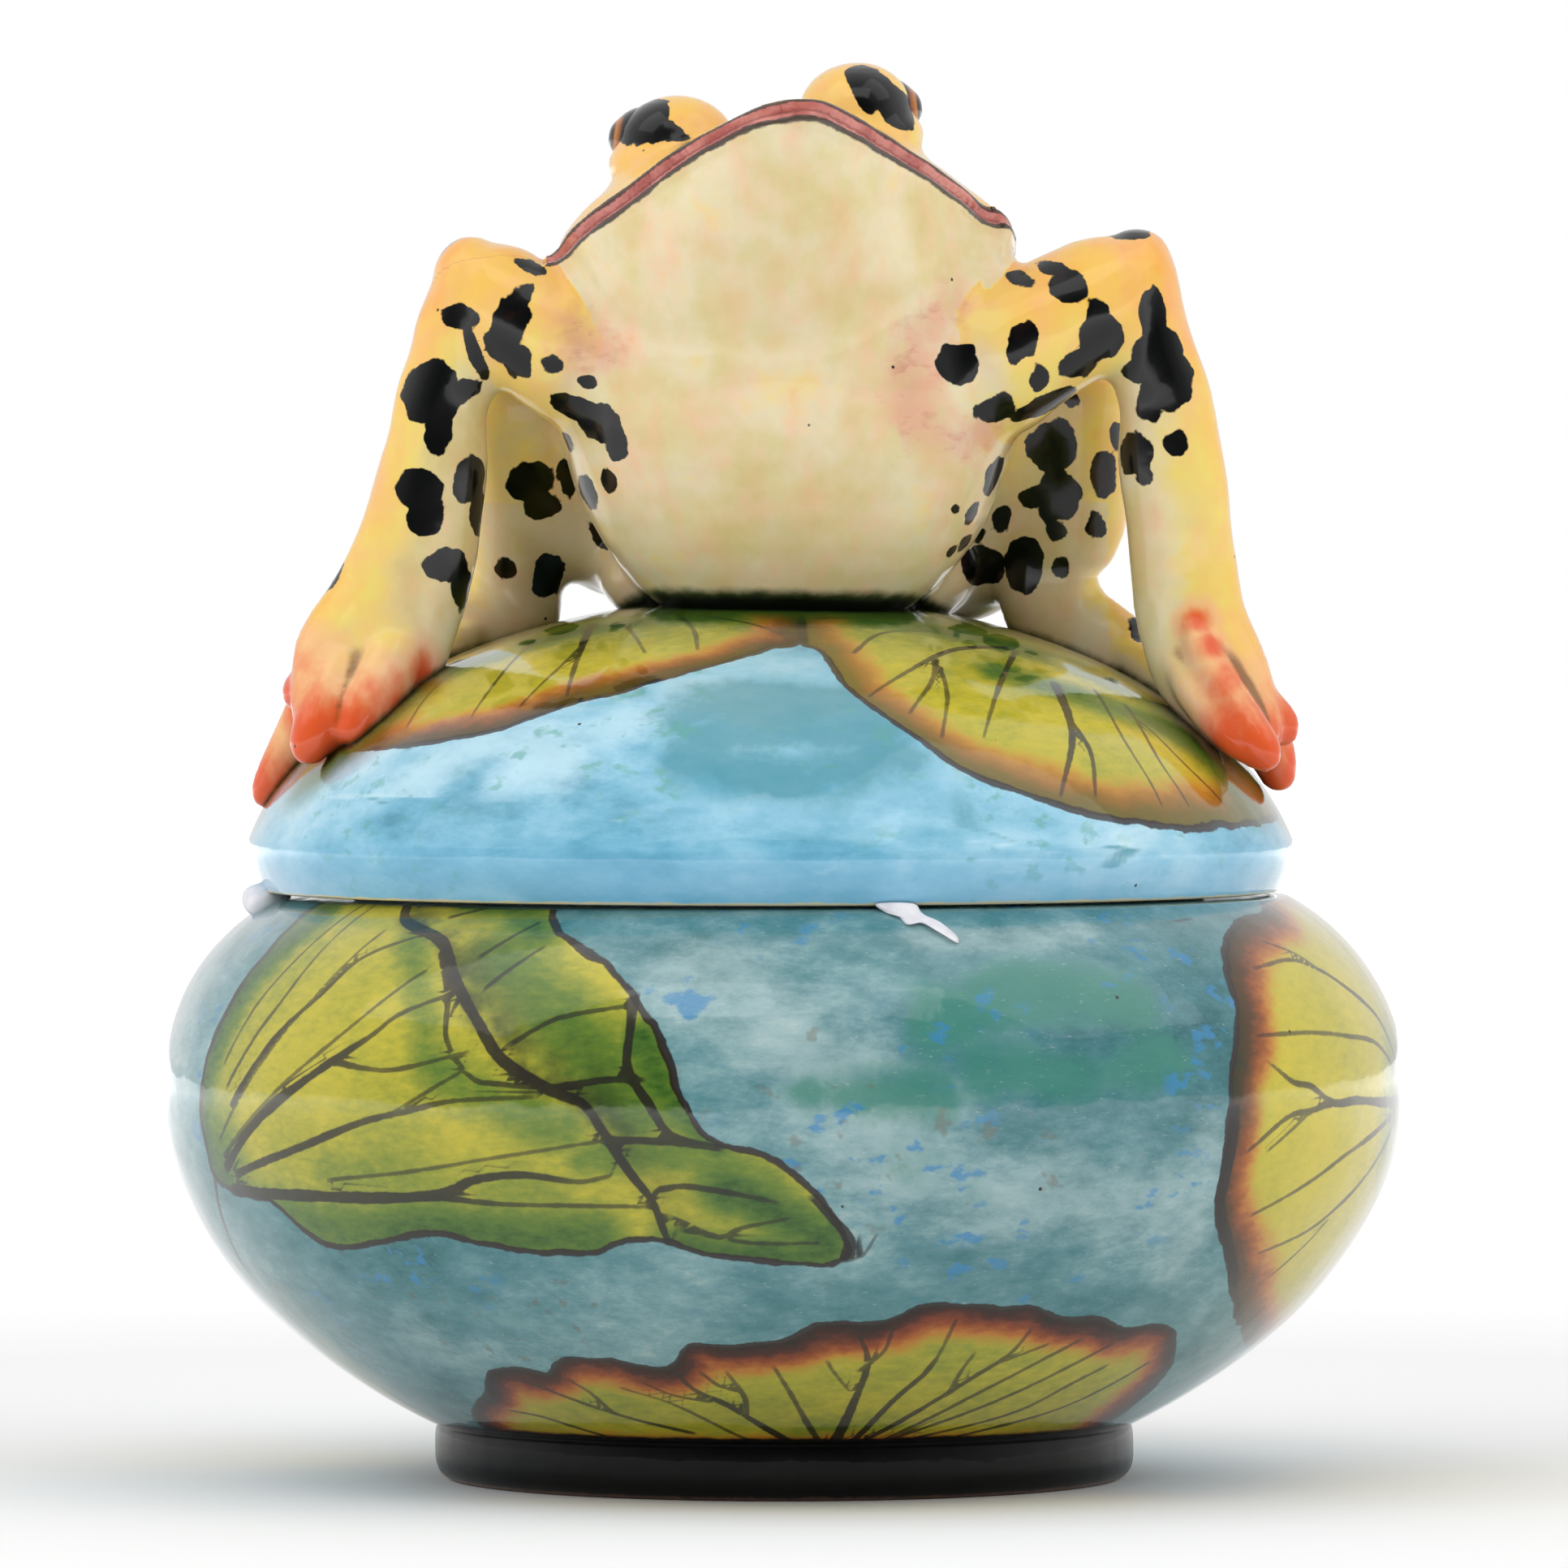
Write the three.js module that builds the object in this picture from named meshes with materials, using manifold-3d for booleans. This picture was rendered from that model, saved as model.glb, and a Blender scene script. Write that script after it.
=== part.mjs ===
// A glazed earthenware jar with a loose domed lid and a seated frog as the lid's handle.
// Millimetres, +Z up. The origin is the centre of the foot ring's resting face; the frog looks along -Y.
// Every piece of clay that the maker forms on its own is a mesh of its own.

import * as THREE from "three";
import { mergeVertices } from "three/addons/utils/BufferGeometryUtils.js";
import Module from "manifold-3d";

const wasm = await Module();
wasm.setup();

// ---------------------------------------------------------------- driving dimensions

const GAP = 0.35; // joint line between two pieces of clay that touch
const TURNS = 48; // facets round each thrown piece

const BELLY_R = 107.2; // widest point of the bowl
const BELLY_Z = 68.3;
const WALL = 6; // thrown wall
const SHOULDER = { a: 40, b: 37 }; // ellipse from the belly up to the rim
const FLANK = { a: 128, b: 76 }; // ellipse from the belly down to the foot
const RIM_Z = 101;
const MOUTH_R = 75;
const FLOOR_Z = 14;

const FOOT_R = 60.4;
const FOOT_BORE_R = 52;
const FOOT_H = 9.5;
const RECESS_H = 6; // how far the turned floor stands above the table

const DOME = { a: 92, b: 53.3, z: 98.7 }; // outer ellipse of the lid
const DOME_WALL = 5.5;
const LID_EDGE_R = 87.6;
const LID_BULGE_R = 89.8;
const LID_Z = 102.4; // underside of the lid
const LID_HOLLOW_R = 66;
const FLANGE = { inner: 67.6, outer: 73.4, low: 93, high: LID_Z - GAP };

const PAD_ANGLES = { lid_pad_left: 180, lid_pad_front: -74 }; // degrees from +X
const PAD_WIDTH = 7;

const BELLY = { y: -8, z: 188, x: 40, depth: 32, down: 45, up: 26 }; // the frog's egg-shaped front
const JAW = { corner: [-8, 210], tip: [-50, 236], width: 39.5 }; // (y, z) of the mouth's line
const HEAD_ROLL = THREE.MathUtils.degToRad(-3.5);
const HEAD_YAW = THREE.MathUtils.degToRad(5);

// ---------------------------------------------------------------- tools

const glaze = (color, roughness = 0.18) =>
  new THREE.MeshStandardMaterial({ color, roughness, metalness: 0 });

// A closed geometry as a manifold solid.
function solidOf(geometry) {
  const bare = geometry.clone();
  bare.deleteAttribute("normal");
  bare.deleteAttribute("uv");
  const merged = mergeVertices(bare, 1e-4);
  return new wasm.Manifold(
    new wasm.Mesh({
      numProp: 3,
      vertProperties: merged.attributes.position.array,
      triVerts: new Uint32Array(merged.index.array),
    }),
  );
}

// A named mesh from a manifold solid.
function meshOf(name, solid, material) {
  const made = solid.getMesh();
  const geometry = new THREE.BufferGeometry();
  geometry.setAttribute("position", new THREE.BufferAttribute(made.vertProperties, 3));
  geometry.setIndex(new THREE.BufferAttribute(made.triVerts, 1));
  geometry.computeVertexNormals();
  const mesh = new THREE.Mesh(geometry, material);
  mesh.name = name;
  return mesh;
}

const union = (...solids) => solids.reduce((all, one) => all.add(one));
const without = (solid, ...others) => others.reduce((left, one) => left.subtract(one), solid);

// A thrown piece: (radius, height) points turned round Z.
function thrown(points) {
  const profile = points.map(([r, z]) => new THREE.Vector2(r, z));
  return solidOf(new THREE.LatheGeometry(profile, TURNS).rotateX(Math.PI / 2));
}

// Points of an ellipse round (r, z) from one angle to another, in degrees above the horizontal.
function arc({ r, z, a, b }, from, to, steps) {
  return Array.from({ length: steps + 1 }, (_, i) => {
    const t = THREE.MathUtils.degToRad(from + ((to - from) * i) / steps);
    return [r + a * Math.cos(t), z + b * Math.sin(t)];
  });
}

const angleAt = (ellipse, z) => THREE.MathUtils.radToDeg(Math.asin((z - ellipse.z) / ellipse.b));

// A hand-rolled form: a sphere whose rings follow stations of [x, y, z, half width, half height above, below].
// Its width is measured across `up`, and `edge` above 1 draws each ring out to a sharper edge.
function rolled(stations, { around = 12, along = 12, up = [0, 0, 1], edge = 1, grow = 0 } = {}) {
  const path = new THREE.CatmullRomCurve3(stations.map((s) => new THREE.Vector3(s[0], s[1], s[2])));
  const sizes = new THREE.CatmullRomCurve3(
    stations.map((s) => new THREE.Vector3(s[3], s[4] ?? s[3], s[5] ?? s[4] ?? s[3])),
  );
  const geometry = new THREE.SphereGeometry(1, around, along);
  const place = geometry.attributes.position;
  const reference = new THREE.Vector3(...up);
  for (let i = 0; i < place.count; i++) {
    const v = Math.floor(i / (around + 1)) / along;
    const turn = ((i % (around + 1)) / around) * 2 * Math.PI;
    const tangent = path.getTangent(v);
    const side = new THREE.Vector3().crossVectors(tangent, reference).normalize();
    const high = new THREE.Vector3().crossVectors(side, tangent).normalize();
    const size = sizes.getPoint(v);
    const lift = Math.sin(turn);
    const height = lift > 0 ? size.y : size.z;
    const pole = v === 0 || v === 1 ? 0 : 1;
    const overrun = (v === 0 ? -grow : 0) + (v === 1 ? grow : 0);
    const point = path
      .getPoint(v)
      .addScaledVector(side, pole * Math.cos(turn) * (size.x + grow))
      .addScaledVector(high, pole * Math.sign(lift) * Math.abs(lift) ** edge * (height + grow))
      .addScaledVector(tangent, overrun);
    place.setXYZ(i, point.x, point.y, point.z);
  }
  return solidOf(geometry);
}

// A ball pressed to an egg: its own radii above and below its centre.
function egg([x, y, z], [rx, ry, up, down], grow = 0, around = 20, along = 14) {
  const geometry = new THREE.SphereGeometry(1, around, along).rotateX(Math.PI / 2);
  const place = geometry.attributes.position;
  for (let i = 0; i < place.count; i++) {
    const height = place.getZ(i) > 0 ? up : down;
    place.setXYZ(
      i,
      x + place.getX(i) * (rx + grow),
      y + place.getY(i) * (ry + grow),
      z + place.getZ(i) * (height + grow),
    );
  }
  return solidOf(geometry);
}

// ---------------------------------------------------------------- bowl and foot

const shoulder = { r: BELLY_R - SHOULDER.a, z: BELLY_Z, ...SHOULDER };
const flank = { r: BELLY_R - FLANK.a, z: BELLY_Z, ...FLANK };
const thinner = (ellipse, by) => ({ ...ellipse, a: ellipse.a - by, b: ellipse.b - by });

function makeBowl() {
  const inside = { shoulder: thinner(shoulder, WALL), flank: thinner(flank, WALL) };
  const outside = [
    ...arc(flank, angleAt(flank, FOOT_H + GAP), 0, 7),
    ...arc(shoulder, 0, angleAt(shoulder, RIM_Z), 5).slice(1),
  ];
  const hollow = [
    ...arc(inside.shoulder, 74, 0, 4),
    ...arc(inside.flank, 0, angleAt(inside.flank, FLOOR_Z + 2.5), 5).slice(1),
  ];
  return thrown([
    [0, RECESS_H],
    [FOOT_BORE_R - GAP, RECESS_H],
    [FOOT_BORE_R - GAP, FOOT_H + GAP],
    ...outside,
    [MOUTH_R + 1.5, RIM_Z],
    [MOUTH_R, RIM_Z - 1.5],
    ...hollow,
    [50, FLOOR_Z],
    [0, FLOOR_Z],
  ]);
}

function makeFoot() {
  const edge = 2.4; // rounding of the outer foot
  return thrown([
    [FOOT_BORE_R, 1],
    [FOOT_BORE_R + 1, 0],
    [FOOT_R - edge, 0],
    [FOOT_R - 0.7, 0.7],
    [FOOT_R - 0.2, edge],
    [FOOT_R, FOOT_H - 1],
    [FOOT_R - 0.4, FOOT_H],
    [FOOT_BORE_R, FOOT_H],
    [FOOT_BORE_R, 1],
  ]);
}

// A flattened strip of white putty that lies on the rim and runs out over the shoulder.
function makePad(angle) {
  const rimAngle = angleAt(shoulder, RIM_Z);
  const under = arc(thinner(shoulder, -GAP), rimAngle, 43, 4);
  const over = arc(thinner(shoulder, -1), 44, rimAngle, 4);
  const section = [[78, RIM_Z + GAP], ...under, ...over, [78, LID_Z - GAP - 0.1]];
  const shape = new THREE.Shape(section.map(([r, z]) => new THREE.Vector2(r, z)));
  const strip = new THREE.ExtrudeGeometry(shape, { depth: PAD_WIDTH, bevelEnabled: false })
    .translate(0, 0, -PAD_WIDTH / 2)
    .rotateX(Math.PI / 2)
    .rotateZ(THREE.MathUtils.degToRad(angle));
  return solidOf(strip);
}

// ---------------------------------------------------------------- lid

function domeCurve(grow = 0) {
  const ellipse = { r: 0, z: DOME.z, a: DOME.a + grow, b: DOME.b + grow };
  return arc(ellipse, angleAt(ellipse, 111), 90, 9);
}

function makeLid() {
  const hollow = { r: 0, z: DOME.z, a: DOME.a - DOME_WALL, b: DOME.b - DOME_WALL };
  const start = THREE.MathUtils.radToDeg(Math.acos((LID_HOLLOW_R - 1) / hollow.a));
  return thrown([
    [LID_HOLLOW_R, LID_Z],
    [LID_EDGE_R - 1, LID_Z],
    [LID_EDGE_R, LID_Z + 0.6],
    [LID_EDGE_R + 1.4, LID_Z + 2.8],
    [LID_BULGE_R, LID_Z + 5.6],
    ...domeCurve(),
    ...arc(hollow, 90, start, 6),
    [LID_HOLLOW_R, LID_Z],
  ]);
}

const makeFlange = () =>
  thrown([
    [FLANGE.inner, FLANGE.low + 1],
    [FLANGE.inner + 1, FLANGE.low],
    [FLANGE.outer - 1, FLANGE.low],
    [FLANGE.outer, FLANGE.low + 1],
    [FLANGE.outer, FLANGE.high],
    [FLANGE.inner, FLANGE.high],
    [FLANGE.inner, FLANGE.low + 1],
  ]);

// The lid as a solid block, a little larger, which trims whatever sits on it.
const lidBlank = thrown([[0, LID_Z], [LID_BULGE_R, LID_Z], ...domeCurve(GAP)]);

// ---------------------------------------------------------------- frog: head and torso

const jawRun = new THREE.Vector2(JAW.tip[0] - JAW.corner[0], JAW.tip[1] - JAW.corner[1]);
const jawTilt = Math.atan2(jawRun.y, -jawRun.x);

// A station of the head on the mouth's plane, `share` of the way from the mouth's corners to its tip.
const onJaw = (share, width, up, down) => [
  0,
  JAW.corner[0] + jawRun.x * share,
  JAW.corner[1] + jawRun.y * share,
  width,
  up,
  down,
];

// Turns a solid with the head: a little roll and yaw about the middle of the mouth's corners.
function poseHead(solid) {
  const [y, z] = JAW.corner;
  const turn = new THREE.Matrix4()
    .makeTranslation(0, y, z)
    .multiply(new THREE.Matrix4().makeRotationZ(HEAD_YAW))
    .multiply(new THREE.Matrix4().makeRotationY(HEAD_ROLL))
    .multiply(new THREE.Matrix4().makeTranslation(0, -y, -z));
  return solid.transform(turn.elements);
}

function wholeHead(grow = 0) {
  const stations = [
    onJaw(-1.2, 6, 4, 4),
    onJaw(-1.0, 19, 13, 8),
    onJaw(-0.7, 29, 19, 16),
    onJaw(-0.35, 36, 23, 28),
    onJaw(0, JAW.width, 23, 38),
    onJaw(0.3, 33, 19, 31),
    onJaw(0.6, 23.5, 13, 19.5),
    onJaw(0.85, 12.5, 6, 9),
    onJaw(1, 4, 1.5, 2.5),
  ];
  return rolled(stations, { around: 20, along: 16, edge: 1.25, grow });
}

// A slab on the upper side of the mouth's plane, which parts the head from the jaw.
function aboveMouth(offset) {
  const slab = new THREE.BoxGeometry(200, 200, 100)
    .translate(0, 0, 50 + offset)
    .rotateX(-jawTilt)
    .translate(0, ...JAW.corner);
  return solidOf(slab);
}

const eyes = {
  left: { centre: [-20.5, -15, 228.6], mound: 9.2 },
  right: { centre: [16.5, -17, 234.2], mound: 9.4 },
};

function torsoSolid(grow = 0) {
  const front = egg([0, BELLY.y, BELLY.z], [BELLY.x, BELLY.depth, BELLY.up, BELLY.down], grow);
  const rump = rolled(
    [
      [0, 4, 192, 20, 14],
      [0, 12, 186, 34, 24],
      [0, 26, 176, 32, 22],
      [0, 40, 166, 24, 15],
      [0, 49, 160, 10, 6],
      [0, 52, 158, 3, 2],
    ],
    { around: 16, along: 11, grow },
  );
  const jaw = without(poseHead(wholeHead(grow)), poseHead(aboveMouth(-GAP + grow)));
  return union(front, rump, jaw);
}

function makeHead(torso) {
  const mounds = Object.values(eyes).map(({ centre: [x, y, z], mound }) =>
    egg([x * 0.93, y + 1, z], [mound, mound + 1, mound, mound], 0, 12, 8),
  );
  const skull = poseHead(wholeHead().intersect(aboveMouth(0)));
  return without(union(skull, ...mounds), torso, ...Object.values(eyes).map((eye) => eyeBall(eye, GAP)));
}

// The eyeball shows at the outer side of its mound.
function eyeBall({ centre: [x, y, z] }, grow = 0) {
  const outward = Math.sign(x);
  return egg([x + outward * 3.6, y - 1.2, z + 0.6], [5.6, 6.2, 6.2, 6.2], grow, 12, 8);
}

// ---------------------------------------------------------------- frog: legs

const toe = (...stations) => rolled(stations, { around: 6, along: 6 });

const legs = {
  foreleg_left: () =>
    union(
      rolled(
        [
          [-20, -14, 187, 8, 8],
          [-28, -15, 190, 13, 13],
          [-38, -16, 195, 12.5, 12],
          [-47, -15, 200.5, 10.8, 10.5],
          [-54.5, -13, 203, 9.2, 9.6],
          [-57.5, -13.5, 190, 7.8, 8.4],
          [-59.5, -14, 176, 9.2, 8.4],
          [-62.5, -14, 161, 10.6, 8.6],
          [-67, -15, 147, 12.3, 8.2],
          [-72, -19, 136.5, 11.5, 6.5],
          [-77, -25, 128, 7.5, 4.6],
          [-79.5, -28.5, 124.5, 3, 2.5],
        ],
        { around: 10, along: 20, up: [0, 1, 0] },
      ),
      toe([-72, -12, 143, 4], [-80, -8, 132, 5], [-85, -4, 124, 4.4], [-88, -2, 118, 3.6], [-89.2, -1.5, 115.8, 1.4]),
      toe([-70, -16, 146, 5], [-78, -16, 139, 5.4], [-82, -16, 134, 4.2], [-84, -16, 131.5, 1.6]),
      toe([-66, -10, 146, 4], [-74, 2, 136, 5], [-79, 8, 129, 4.2], [-82, 11, 125, 1.6]),
    ),
  foreleg_right: () =>
    union(
      rolled(
        [
          [20, -14, 186, 9, 9],
          [30, -15, 190, 14, 14],
          [40, -16, 194.5, 14, 13.5],
          [50, -15, 199, 12.6, 12.2],
          [60, -13, 203.5, 10.2, 10.4],
          [65.5, -13.5, 191, 8, 8.6],
          [68.5, -14, 177, 7.8, 8],
          [69, -14, 163, 8.8, 8.2],
          [70.5, -14, 150, 9.6, 8.2],
          [73.5, -17, 139, 9.8, 6.8],
          [78.5, -21, 129, 7.4, 4.8],
          [82.5, -23, 123.5, 3, 2.5],
        ],
        { around: 10, along: 20, up: [0, 1, 0] },
      ),
      toe([73, -12, 143, 4], [81, -10, 134, 5.2], [86, -9, 128.5, 4.2], [88.3, -8.5, 126.5, 1.6]),
      toe([71, -9, 143, 4], [79, -2, 132, 5], [84, 1, 124, 4.4], [87, 2, 119, 1.8]),
      toe([66, -10, 146, 4], [74, 4, 135, 4.6], [79, 11, 128, 3.8], [81, 14, 125, 1.6]),
    ),
  hindleg_left: () => hindleg(-1, { knee: 186, girth: 1 }),
  hindleg_right: () => hindleg(1, { knee: 188, girth: 1.06 }),
};

function hindleg(side, { knee, girth }) {
  const fat = (s) => [side * s[0], s[1], s[2], s[3] * girth, (s[4] ?? s[3]) * girth];
  const fan = (...stations) => toe(...stations.map((s) => [side * s[0], s[1], s[2], s[3]]));
  return union(
    rolled(
      [
        [16, 34, 160, 8],
        [22, 31, 164, 13],
        [32, 24, 172, 14],
        [42, 14, knee - 6, 12],
        [47.5, 9, knee, 9.5],
        [49, 13, knee - 11, 8.8],
        [48.5, 19, 166, 8.6],
        [47, 23, 153, 8],
        [50, 21, 147, 8.6, 6],
        [58, 18, 142.5, 8.5, 4.6],
        [64, 16, 139, 3, 2.5],
      ].map(fat),
      { around: 10, along: 20, up: [0, 1, 0] },
    ),
    fan([54, 17, 145, 3.5], [59, 12, 141.5, 4.2], [62.5, 9, 139, 3.6], [64, 8, 137.5, 1.4]),
    fan([56, 19, 144, 3.5], [66, 18, 137, 4.4], [73, 19, 131.5, 3.6], [75.5, 19.5, 129.5, 1.4]),
    fan([54, 22, 145, 3.5], [62, 29, 137, 4.4], [67, 34, 131.5, 3.6], [69, 36, 129.5, 1.4]),
  );
}

// ---------------------------------------------------------------- assembly

const CLAY = {
  bowl: glaze(0x8fb7bd),
  foot: glaze(0x121113, 0.22),
  lid: glaze(0x8ec1d6),
  bare: glaze(0xd9cdb0, 0.6),
  skin: glaze(0xe3cf85),
  back: glaze(0xefb552),
  eye: glaze(0x3a2f28, 0.1),
  putty: glaze(0xeeeef0, 0.5),
};

const jar = new THREE.Group();
jar.add(meshOf("bowl", makeBowl(), CLAY.bowl), meshOf("foot_ring", makeFoot(), CLAY.foot));
for (const [name, angle] of Object.entries(PAD_ANGLES)) jar.add(meshOf(name, makePad(angle), CLAY.putty));

const lid = new THREE.Group();
lid.add(meshOf("lid_dome", makeLid(), CLAY.lid), meshOf("lid_flange", makeFlange(), CLAY.bare));

const torsoRoom = torsoSolid(GAP);
lid.add(meshOf("frog_torso", without(torsoSolid(), lidBlank), CLAY.skin));
const head = makeHead(torsoRoom);
lid.add(meshOf("frog_head", head, CLAY.back));
for (const [side, eye] of Object.entries(eyes)) {
  lid.add(meshOf(`frog_eye_${side}`, eyeBall(eye), CLAY.eye));
}
const headRoom = poseHead(wholeHead(GAP));
for (const [name, makeLeg] of Object.entries(legs)) {
  lid.add(meshOf(`frog_${name}`, without(makeLeg(), torsoRoom, headRoom, lidBlank), CLAY.back));
}

const model = new THREE.Group();
model.add(jar, lid);

export default model;
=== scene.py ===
"""A glazed earthenware jar with a loose domed lid and a frog for its handle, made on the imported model.

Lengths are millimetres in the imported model's frame; they become metres where a mesh is made.
"""

import math

import bpy
import numpy as np
from mathutils import Matrix, Vector, noise
from mathutils.bvhtree import BVHTree


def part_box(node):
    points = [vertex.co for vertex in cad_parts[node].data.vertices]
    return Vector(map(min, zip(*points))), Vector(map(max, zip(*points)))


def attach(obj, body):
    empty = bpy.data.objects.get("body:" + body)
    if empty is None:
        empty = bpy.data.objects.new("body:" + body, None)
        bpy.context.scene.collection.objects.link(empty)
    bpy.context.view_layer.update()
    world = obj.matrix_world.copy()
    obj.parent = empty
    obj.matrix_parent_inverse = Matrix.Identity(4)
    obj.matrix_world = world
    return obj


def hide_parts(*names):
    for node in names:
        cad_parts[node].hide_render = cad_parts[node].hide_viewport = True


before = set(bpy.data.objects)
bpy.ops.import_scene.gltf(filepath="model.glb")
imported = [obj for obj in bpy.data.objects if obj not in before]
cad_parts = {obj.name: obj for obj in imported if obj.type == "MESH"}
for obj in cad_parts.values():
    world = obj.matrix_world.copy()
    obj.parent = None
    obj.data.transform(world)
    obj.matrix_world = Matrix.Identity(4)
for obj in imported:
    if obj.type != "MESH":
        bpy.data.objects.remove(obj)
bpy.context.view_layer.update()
MM = 0.001

# ---------------------------------------------------------------- driving dimensions

BELLY_R, BELLY_Z = 107.2, 68.3
SHOULDER = (40, 37)  # half axes of the ellipse from belly to rim
FLANK = (128, 76)  # and from belly to foot
WALL = 6
RIM_Z, MOUTH_R = 101, 75
FLOOR_Z, RECESS_Z = 14, 6
FOOT_R, FOOT_BORE_R, FOOT_TOP = 60.4, 52, 10.1
DOME_R, DOME_RISE, DOME_Z = 92, 53.3, 98.7
DOME_WALL = 5.5
LID_SHIFT = -2.4  # the lid sits this far to the left of the bowl's axis
RING_SHIFT = -1.0  # and its locating ring as far as the mouth allows
LID_Z, LID_EDGE_R, LID_BULGE_R, LID_HOLLOW_R = 102.4, 87.6, 89.8, 66

CAMERA_DISTANCE, CAMERA_HEIGHT, AIM_HEIGHT = 2340, 171, 119.6
VIEW_WIDTH = 270.5  # across the picture at the jar's axis

COLUMNS = 480  # round the bowl and the lid

OUTSIDE = -60.0  # a signed distance that means "no leaf here"
NO_SPOT = -20.0  # and one that means "no spot here"
FAR = 60.0  # a distance past every brush stroke
VEIN_TIP = 0.28  # half the width that a vein thins to

# ---------------------------------------------------------------- curves and meshes


def smooth_line(points, steps=8, closed=False):
    """Points along the Catmull-Rom curve through the given ones."""
    p = np.asarray(points, float)
    ends = (p[-1:], p[:2]) if closed else (2 * p[:1] - p[1:2], 2 * p[-1:] - p[-2:-1])
    p = np.vstack([ends[0], p, ends[1]])
    t = np.linspace(0, 1, steps, endpoint=False)[:, None]
    runs = [
        b + 0.5 * ((c - a) * t + (2 * a - 5 * b + 4 * c - d) * t**2 + (3 * b - a - 3 * c + d) * t**3)
        for a, b, c, d in zip(p[:-3], p[1:-2], p[2:-1], p[3:])
    ]
    return np.vstack(runs if closed else runs + [p[-2:-1]])


def arc(radius, height, half_axes, start, end, steps):
    """(r, z) points of an ellipse round (radius, height), by degrees above the horizontal."""
    turn = np.radians(np.linspace(start, end, steps))
    return np.column_stack([radius + half_axes[0] * np.cos(turn), height + half_axes[1] * np.sin(turn)])


def angle_at(height, centre, half_axis):
    return math.degrees(math.asin((height - centre) / half_axis))


def densify(profile, step):
    """The same profile with points no more than a step apart."""
    out = [profile[:1]]
    for a, b in zip(profile[:-1], profile[1:]):
        count = max(1, round(float(np.linalg.norm(b - a)) / step))
        out.append(a + (b - a) * np.linspace(0, 1, count + 1)[1:, None])
    return np.vstack(out)


def make_object(name, vertices, faces, material, normals=None):
    """A smooth-shaded object from vertices in millimetres."""
    mesh = bpy.data.meshes.new(name)
    mesh.from_pydata((np.asarray(vertices) * MM).tolist(), [], faces)
    mesh.polygons.foreach_set("use_smooth", [True] * len(mesh.polygons))
    mesh.materials.append(material)
    mesh.update()
    if normals is not None:
        mesh.normals_split_custom_set_from_vertices(normals.tolist())
    piece = bpy.data.objects.new(name, mesh)
    bpy.context.scene.collection.objects.link(piece)
    return piece


def set_field(piece, name, values):
    """Stores one number a vertex, which the material reads by name."""
    layer = piece.data.attributes.new(name, "FLOAT", "POINT")
    layer.data.foreach_set("value", np.asarray(values, np.float32))


def revolve(profile, columns, warp=None):
    """Vertices and faces of a profile turned round Z. Points at radius 0 become single poles."""
    turn = np.linspace(0, 2 * math.pi, columns, endpoint=False)
    vertices, rings = [], []
    for r, z in profile:
        if r < 1e-6:
            rings.append([len(vertices)] * columns)
            vertices.append((0.0, 0.0, z))
            continue
        rings.append(list(range(len(vertices), len(vertices) + columns)))
        vertices.extend((r * math.sin(a), -r * math.cos(a), z) for a in turn)
    faces = []
    closed = profile[0][0] > 1e-6 and profile[-1][0] > 1e-6
    for low, high in zip(rings, rings[1:] + rings[:1] if closed else rings[1:]):
        for i in range(columns):
            j = (i + 1) % columns
            corners = [low[i], low[j], high[j], high[i]]
            faces.append(tuple(dict.fromkeys(corners)))
    vertices = np.array(vertices)
    if warp is not None:
        vertices = warp(vertices)
    return vertices, faces


# ---------------------------------------------------------------- painted fields


def azimuth_of(vertices):
    """Degrees round Z from the front, growing to the right."""
    return np.degrees(np.arctan2(vertices[:, 0], -vertices[:, 1]))


class BowlChart:
    """Flattens the outer bowl round one azimuth. Places are (azimuth in degrees, height in mm)."""

    def __init__(self, profile):
        self.heights, self.radii = profile[:, 1], profile[:, 0]
        self.run = np.concatenate([[0], np.cumsum(np.linalg.norm(np.diff(profile, axis=0), axis=1))])

    def flat(self, azimuth, height, centre):
        away = np.radians((np.asarray(azimuth, float) - centre + 180) % 360 - 180)
        across = away * np.interp(height, self.heights, self.radii)
        past = height - np.clip(height, self.heights[0], self.heights[-1])
        return np.column_stack([across, np.interp(height, self.heights, self.run) + past])


class LidChart:
    """Flattens the dome from its top. Places are (azimuth in degrees, radius in mm)."""

    def __init__(self, profile):
        order = np.argsort(profile[:, 0])
        self.radii = profile[order, 0]
        steps = np.linalg.norm(np.diff(profile[order], axis=0), axis=1)
        self.run = np.concatenate([[0], np.cumsum(steps)])

    def flat(self, azimuth, radius, centre=0):
        away = np.radians(np.asarray(azimuth, float))
        run = np.interp(radius, self.radii, self.run)
        return np.column_stack([run * np.sin(away), -run * np.cos(away)])


def to_segments(points, line):
    """For each point: how far the nearest piece of a line is, on which side, and how far along the line."""
    best = np.full(len(points), np.inf)
    side = np.zeros(len(points))
    share = np.zeros(len(points))
    for i, (a, b) in enumerate(zip(line[:-1], line[1:])):
        run = b - a
        length = math.hypot(*run)
        if length < 1e-6:
            continue
        rel = points - a
        t = np.clip((rel @ run) / length**2, 0, 1)
        gap = np.hypot(rel[:, 0] - t * run[0], rel[:, 1] - t * run[1])
        closer = gap < best
        best = np.where(closer, gap, best)
        side = np.where(closer, (run[0] * rel[:, 1] - run[1] * rel[:, 0]) / length, side)
        share = np.where(closer, (i + t) / (len(line) - 1), share)
    return best, side, share


def inside(points, outline):
    """True for points within a closed outline."""
    odd = np.zeros(len(points), bool)
    x, y = points[:, 0], points[:, 1]
    for a, b in zip(outline, np.roll(outline, -1, axis=0)):
        if a[1] == b[1]:
            continue
        crosses = (a[1] > y) != (b[1] > y)
        odd ^= crosses & (x < a[0] + (y - a[1]) * (b[0] - a[0]) / (b[1] - a[1]))
    return odd


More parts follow.
